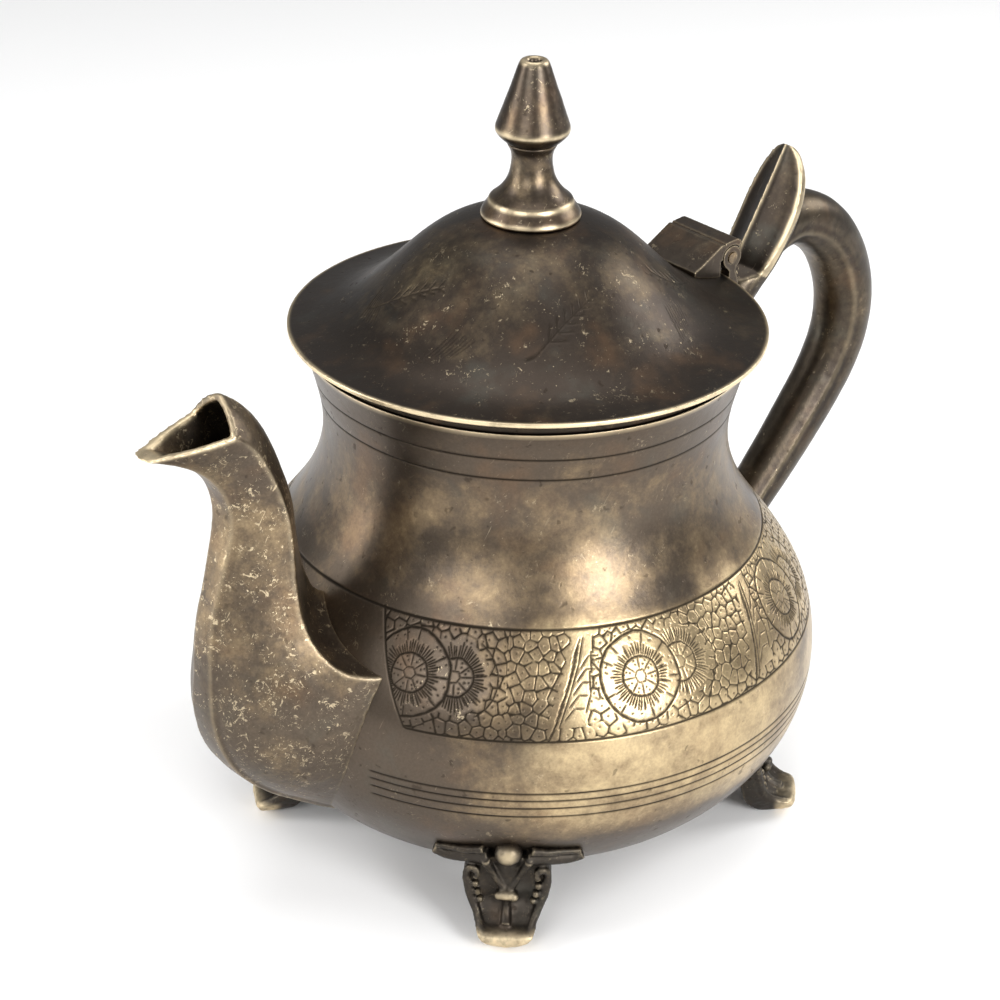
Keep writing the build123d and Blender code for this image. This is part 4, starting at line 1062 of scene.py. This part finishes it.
# ================================================================ feet, cast with scrolls
def foot_parts():
    """Foot at azimuth 0: x is the radius, y sideways, z up."""
    out_l = np.array([(2.4, 0.0), (5.6, 2.4), (7.8, 5.6), (9.7, 9.4), (10.8, 13.4), (11.2, 17.0), (11.1, 20.0), (10.6, 22.0), (12.4, 23.0), (17.4, 23.0), (20.2, 24.2),
                      (20.8, 25.8), (19.4, 27.2), (15.0, 28.4), (9.6, 29.4), (5.0, 30.6), (0.0, 31.2)])
    zz = np.linspace(0.05, 31.0, 70)
    o_z, o_w = cubic(out_l[:8], 100)[:, 1], cubic(out_l[:8], 100)[:, 0]
    side_front = np.array([(0.0, 76.4), (1.1, 78.6), (3.0, 80.1), (4.8, 79.8), (5.6, 78.0), (6.4, 75.4), (8.2, 73.4), (10.8, 72.6), (14.0, 72.9), (18.5, 72.8), (23.0, 73.6), (27.0, 75.0), (31.5, 76.6)])
    side_back = np.array([(0.0, 72.2), (0.9, 70.4), (2.8, 68.2), (6.2, 66.2), (9.0, 65.6), (12.0, 65.8), (18.0, 66.0), (24.0, 67.4), (31.5, 69.0)])
    parts = []
    rings = []
    for z in zz[zz < 26.5]:
        hw = float(np.interp(z, o_z, o_w)) if z < 22 else 10.5 - (z - 22) * 0.5
        f, b = float(np.interp(z, side_front[:, 0], side_front[:, 1])), float(np.interp(z, side_back[:, 0], side_back[:, 1]))
        y = np.linspace(-1, 1, 33)
        bow = 0.9 * y ** 2 * smooth(np.array(z), 4, 12)
        hollow = -1.5 * np.exp(-((np.abs(y) - 0.45) / 0.26) ** 2) * smooth(np.array(z), 7, 12) * (1 - smooth(np.array(z), 22, 26))
        fr = f - 0.9 * y ** 4 - bow + hollow
        bb = b + 1.2 * y ** 2
        rings.append(np.concatenate([np.stack([fr, hw * y, np.full(33, z)], 1), np.stack([np.minimum(bb, fr - 1.6), hw * y, np.full(33, z)], 1)[::-1]]))
    parts.append(tube(rings))
    rr = lambda z: float(np.interp(z, side_front[:, 0], side_front[:, 1]))
    # raised V, from the scroll roots down to the cross bead
    for s in (-1, 1):
        pts = [(rr(25.5) + 0.3, s * 5.6, 25.6), (rr(22) + 0.1, s * 4.4, 22.2), (rr(19) - 0.1, s * 2.9, 19.0), (rr(16) - 0.1, s * 1.3, 16.2), (rr(15), 0.0, 14.6)]
        parts.append(sweep(cubic(pts, 24), np.concatenate([np.linspace(1.25, 0.85, 13), np.linspace(0.85, 0.9, 12)]), 1.0, 14))
        # side rim that curls in at the top
        pts = [(rr(5) - 1.0, s * 5.4, 4.6), (rr(9) - 0.4, s * 8.0, 9.0), (rr(13) - 0.7, s * 9.4, 13.0), (rr(17) - 0.7, s * 10.2, 17.0), (rr(20) - 0.6, s * 10.3, 20.4),
               (rr(22) - 0.2, s * 9.0, 22.0), (rr(20) + 0.1, s * 7.6, 20.6), (rr(18) + 0.1, s * 8.2, 18.6)]
        parts.append(sweep(cubic(pts, 46), np.concatenate([np.linspace(0.9, 1.25, 24), np.linspace(1.25, 0.85, 23)]), 1.0, 14))
        # bracket arm along the belly, with a rolled end
        bx = lambda y_, z_: math.sqrt(max(body_r(z_) ** 2 - y_ ** 2, 0)) + 0.5
        pts = [(bx(4, 26.0) + 0.6, s * 4.5, 25.6), (bx(9, 24.8) + 0.5, s * 9.0, 24.8), (bx(13.5, 24.2) + 0.3, s * 13.5, 23.9), (bx(17.0, 24.2) + 0.2, s * 17.0, 23.9), (bx(19.2, 24.8), s * 19.0, 24.6)]
        parts.append(sweep(cubic(pts, 30), np.concatenate([np.linspace(2.7, 2.2, 20), np.linspace(2.15, 1.7, 11)]), 0.92, 18))
        pts = [(bx(6, 28.6) + 0.5, s * 6.0, 28.4), (bx(11, 27.4) + 0.4, s * 11.0, 27.2), (bx(16, 27.0) + 0.2, s * 15.6, 26.8), (bx(19, 27.0), s * 18.6, 26.4)]
        parts.append(sweep(cubic(pts, 24), np.linspace(1.2, 0.8, 25), 1.0, 12))
        # small berries down the edge
        for z_, y_ in ((16.6, 8.1), (14.1, 7.5), (11.6, 6.8)):
            parts.append(ellipsoid((rr(z_) - 0.1, s * y_, z_), (1.0, 0.95, 1.0), 0.0, 12))
    parts.append(ellipsoid((74.2, 0.2, 27.6), (3.2, 3.5, 3.2), 0.0, 20))
    parts.append(ellipsoid((73.3, 0.0, 14.0), (1.9, 2.9, 1.6), 0.0, 18))
    parts.append(ellipsoid((73.7, 1.9, 13.6), (1.4, 1.2, 1.2), 0.0, 14))
    parts.append(ellipsoid((73.6, -1.9, 13.9), (1.4, 1.3, 1.2), 0.0, 14))
    # rib between the cross bead and the toe, and the toe's own lobe
    parts.append(sweep(cubic([(73.3, 0, 13.0), (72.9, 0, 10.6), (73.8, 0, 8.2), (76.4, 0, 6.0)], 16), np.linspace(0.8, 1.5, 17), 1.0, 14))
    parts.append(ellipsoid((76.0, 0.0, 3.3), (4.1, 5.0, 2.9), 0.0, 20))
    return parts


LEAN = {"foot_handle_right": 13.0}


def build_foot(shift, lean):
    acc = []
    for v, q, t in foot_parts():
        acc.append((v + np.array([shift, 0.0, 0.0]), q, t))
    v, q, t = merge(acc)
    me = new_mesh("foot_raw", v, q, t, shade=False)
    make_outward(me)
    solid = voxel(me, 0.30)
    if lean:
        for sgn in (1, -1):
            wings = bpy.data.meshes.new("wings")
            bm = bmesh.new()
            bmesh.ops.create_cube(bm, size=1.0, matrix=Matrix.Translation((0.070, sgn * 0.0264, 0.0356)) @ Matrix.Diagonal((0.05, 0.03, 0.03, 1)))
            bm.to_mesh(wings)
            bm.free()
            solid = boolean(solid, wings)
        c = co_of(solid)
        t = math.radians(lean)
        x0, z0 = c[:, 0] - 78.0, c[:, 2].copy()
        c = np.stack([78.0 + x0 * math.cos(t) - z0 * math.sin(t), c[:, 1], x0 * math.sin(t) + z0 * math.cos(t)], 1)
        set_co(solid, c)
    tool = body_solid(0.5, 360)
    make_outward(tool)
    cut_ = boolean(solid, tool)
    floor_tool = bpy.data.meshes.new("under")
    bm = bmesh.new()
    bmesh.ops.create_cube(bm, size=1.0, matrix=Matrix.Translation((0.075, 0, -0.05 - 0.00005)) @ Matrix.Diagonal((0.1, 0.1, 0.1, 1)))
    bm.to_mesh(floor_tool)
    bm.free()
    cut_ = boolean(cut_, floor_tool)
    me = voxel(cut_, 0.30)
    soften(me, 2, 0.5)
    v, nn = co_of(me), normals_of(me)
    v = v + nn * (0.16 * noise(v, 3.4, 91, 3) + 0.05 * noise(v, 1.1, 92, 2))[:, None]
    v[:, 2] = np.maximum(v[:, 2], 0.0)
    set_co(me, v)
    e = edge_wear(me, 2, 7.0 * (0.42 / 0.30))
    vv = co_of(me) - np.array([shift, 0.0, 0.0])
    toe = (1 - smooth(vv[:, 2], 4.2, 6.2)) * smooth(vv[:, 0], 73.0, 75.5)
    bead = np.exp(-(((vv[:, 0] - 77.2) / 1.6) ** 2 + (vv[:, 1] / 2.4) ** 2 + ((vv[:, 2] - 28.0) / 2.2) ** 2)) + 0.9 * np.exp(-(((vv[:, 0] - 75.2) / 1.4) ** 2 + ((vv[:, 2] - 14.0) / 1.3) ** 2 + (vv[:, 1] / 3.0) ** 2))
    e = np.clip(e * 0.8 - 0.1, 0, 1)
    g = np.clip(-edge_wear(me, 3, 8.0), 0, 1)
    set_attrs(me, {"edge": np.clip(np.maximum(e, toe * (0.75 + 0.3 * noise(vv, 1.6, 93, 2))) + 0.6 * bead, 0, 1), "groove": g * 0.8, "rub_and_highlight": 0.2 * toe})
    return me


feet_made = {}
for node_name in ("foot_handle_left", "foot_spout_left", "foot_spout_right", "foot_handle_right"):
    v = np.array([q.co for q in NODES[node_name].data.vertices])
    sole = v[v[:, 2] < 1e-5]
    mid_s = (sole.min(0) + sole.max(0)) / 2
    a = math.atan2(mid_s[1], mid_s[0])
    rad_ = sole[:, 0] * math.cos(a) + sole[:, 1] * math.sin(a)
    shift = round(float((rad_.min() + rad_.max()) / 2 * 1000.0 - 74.3), 1)
    lean = LEAN.get(node_name, 0.0)
    if abs(shift) < 0.6 or lean:
        shift = 0.0
    if (shift, lean) not in feet_made:
        feet_made[(shift, lean)] = build_foot(shift, lean)
    me = feet_made[(shift, lean)].copy()
    c = co_of(me)
    seed = int(abs(a) * 100)
    c = c + (0.12 * noise(c, 5.0, seed, 2))[:, None] * normals_of(me)
    c[:, 2] = np.maximum(c[:, 2], 0.0)
    r2 = np.stack([c[:, 0] * math.cos(a) - c[:, 1] * math.sin(a), c[:, 0] * math.sin(a) + c[:, 1] * math.cos(a), c[:, 2]], 1)
    set_co(me, r2)
    add_object(node_name + "_cast", me, M_FOOT, "pot", (node_name,))
    print(node_name, "azimuth", round(math.degrees(a), 1), "shift", shift, "verts", len(me.vertices))

# ================================================================ CAD nodes kept as they are, with worn-brass finishes
for node_name, mat_ in (("base_disc", M_BODY), ("hinge_pin", M_PIN), ("lid_bezel", M_INNER), ("finial_tie_rod", M_PIN), ("finial_washer", M_PIN), ("finial_nut", M_PIN)):
    o = NODES[node_name]
    o.data.materials.clear()
    o.data.materials.append(mat_)
    w = o.modifiers.new("weld", "WELD")
    w.merge_threshold = 1e-6
    b = o.modifiers.new("bevel", "BEVEL")
    b.width, b.segments, b.limit_method, b.angle_limit = 0.00022, 3, "ANGLE", math.radians(35)

# ================================================================ stage, light, camera
floor_me = bpy.data.meshes.new("floor")
bm = bmesh.new()
bmesh.ops.create_circle(bm, cap_ends=True, segments=96, radius=6.0)
bm.to_mesh(floor_me)
bm.free()
floor_mat = bpy.data.materials.new("pale_floor")
floor_mat.use_nodes = True
fnt = floor_mat.node_tree
fnt.nodes["Principled BSDF"].inputs["Base Color"].default_value = (0.90, 0.90, 0.90, 1)
fnt.nodes["Principled BSDF"].inputs["Roughness"].default_value = 0.9
floor = add_object("floor", floor_me, floor_mat)
floor.location.z = -0.0001

world = bpy.data.worlds.new("studio")
bpy.context.scene.world = world
world.use_nodes = True
wnt = world.node_tree
wnt.nodes.clear()
lp = node(wnt, "ShaderNodeLightPath")
dirn = node(wnt, "ShaderNodeTexCoord").outputs["Generated"]
sep = node(wnt, "ShaderNodeSeparateXYZ", {0: dirn})
grad = node(wnt, "ShaderNodeMapRange", {0: sep.outputs[2], 1: -0.1, 2: 0.9, 3: 0.30, 4: 0.42}).outputs[0]
bg1 = node(wnt, "ShaderNodeBackground", {0: (1, 1, 1, 1), 1: grad})
bg2 = node(wnt, "ShaderNodeBackground", {0: (1, 1, 1, 1), 1: 1.0})
mixs = node(wnt, "ShaderNodeMixShader", {0: lp.outputs["Is Camera Ray"], 1: bg1.outputs[0], 2: bg2.outputs[0]})
node(wnt, "ShaderNodeOutputWorld", {0: mixs.outputs[0]})

CAM = Vector((-0.3704, -0.4317, 0.3919))
FWD, RIGHT, UP = Vector((0.5675, 0.6763, -0.4696)).normalized(), Vector((0.766, -0.6428, 0.0)), Vector((0.3019, 0.3597, 0.8829))
mid_pt = Vector((0, 0, 0.09))


def area(name, offset, size, power, size_y=None, target=mid_pt, colour=(1, 1, 1)):
    """offset: metres to the camera's right, up (world), and towards the camera."""
    li = bpy.data.lights.new(name, "AREA")
    li.shape = "RECTANGLE"
    li.size, li.size_y = size, size_y or size
    li.energy, li.color = power, colour
    o = bpy.data.objects.new(name, li)
    bpy.context.scene.collection.objects.link(o)
    flat = Vector((-FWD.x, -FWD.y, 0)).normalized()
    o.location = target + RIGHT * offset[0] + Vector((0, 0, 1)) * offset[1] + flat * offset[2]
    o.rotation_mode = "QUATERNION"
    o.rotation_quaternion = (target - o.location).to_track_quat("-Z", "Y")
    return o


area("key_softbox", (0.64, 0.36, 0.76), 0.36, 9.5, 0.50)
area("left_strip", (-0.95, 0.35, 0.15), 0.35, 6.0, 0.9)
area("front_left", (-0.42, 0.52, 0.86), 0.55, 4.2, 0.45)
area("top_box", (0.0, 1.3, -0.1), 1.1, 9.0)
area("right_back", (0.9, 0.55, -0.35), 0.5, 6.0)

cam_d = bpy.data.cameras.new("camera")
cam = bpy.data.objects.new("camera", cam_d)
bpy.context.scene.collection.objects.link(cam)
cam_d.lens, cam_d.sensor_width = 86.4, 36.0
cam_d.clip_start, cam_d.clip_end = 0.01, 50.0
rho = math.radians(1.20)
X = RIGHT * math.cos(rho) + UP * math.sin(rho)
Y = RIGHT * -math.sin(rho) + UP * math.cos(rho)
Z = -FWD
cam.matrix_world = Matrix(((X.x, Y.x, Z.x, CAM.x), (X.y, Y.y, Z.y, CAM.y), (X.z, Y.z, Z.z, CAM.z), (0, 0, 0, 1)))
bpy.context.scene.camera = cam
vs = bpy.context.scene.view_settings
vs.view_transform = "Standard"
vs.look = "None"
vs.exposure = 0.0
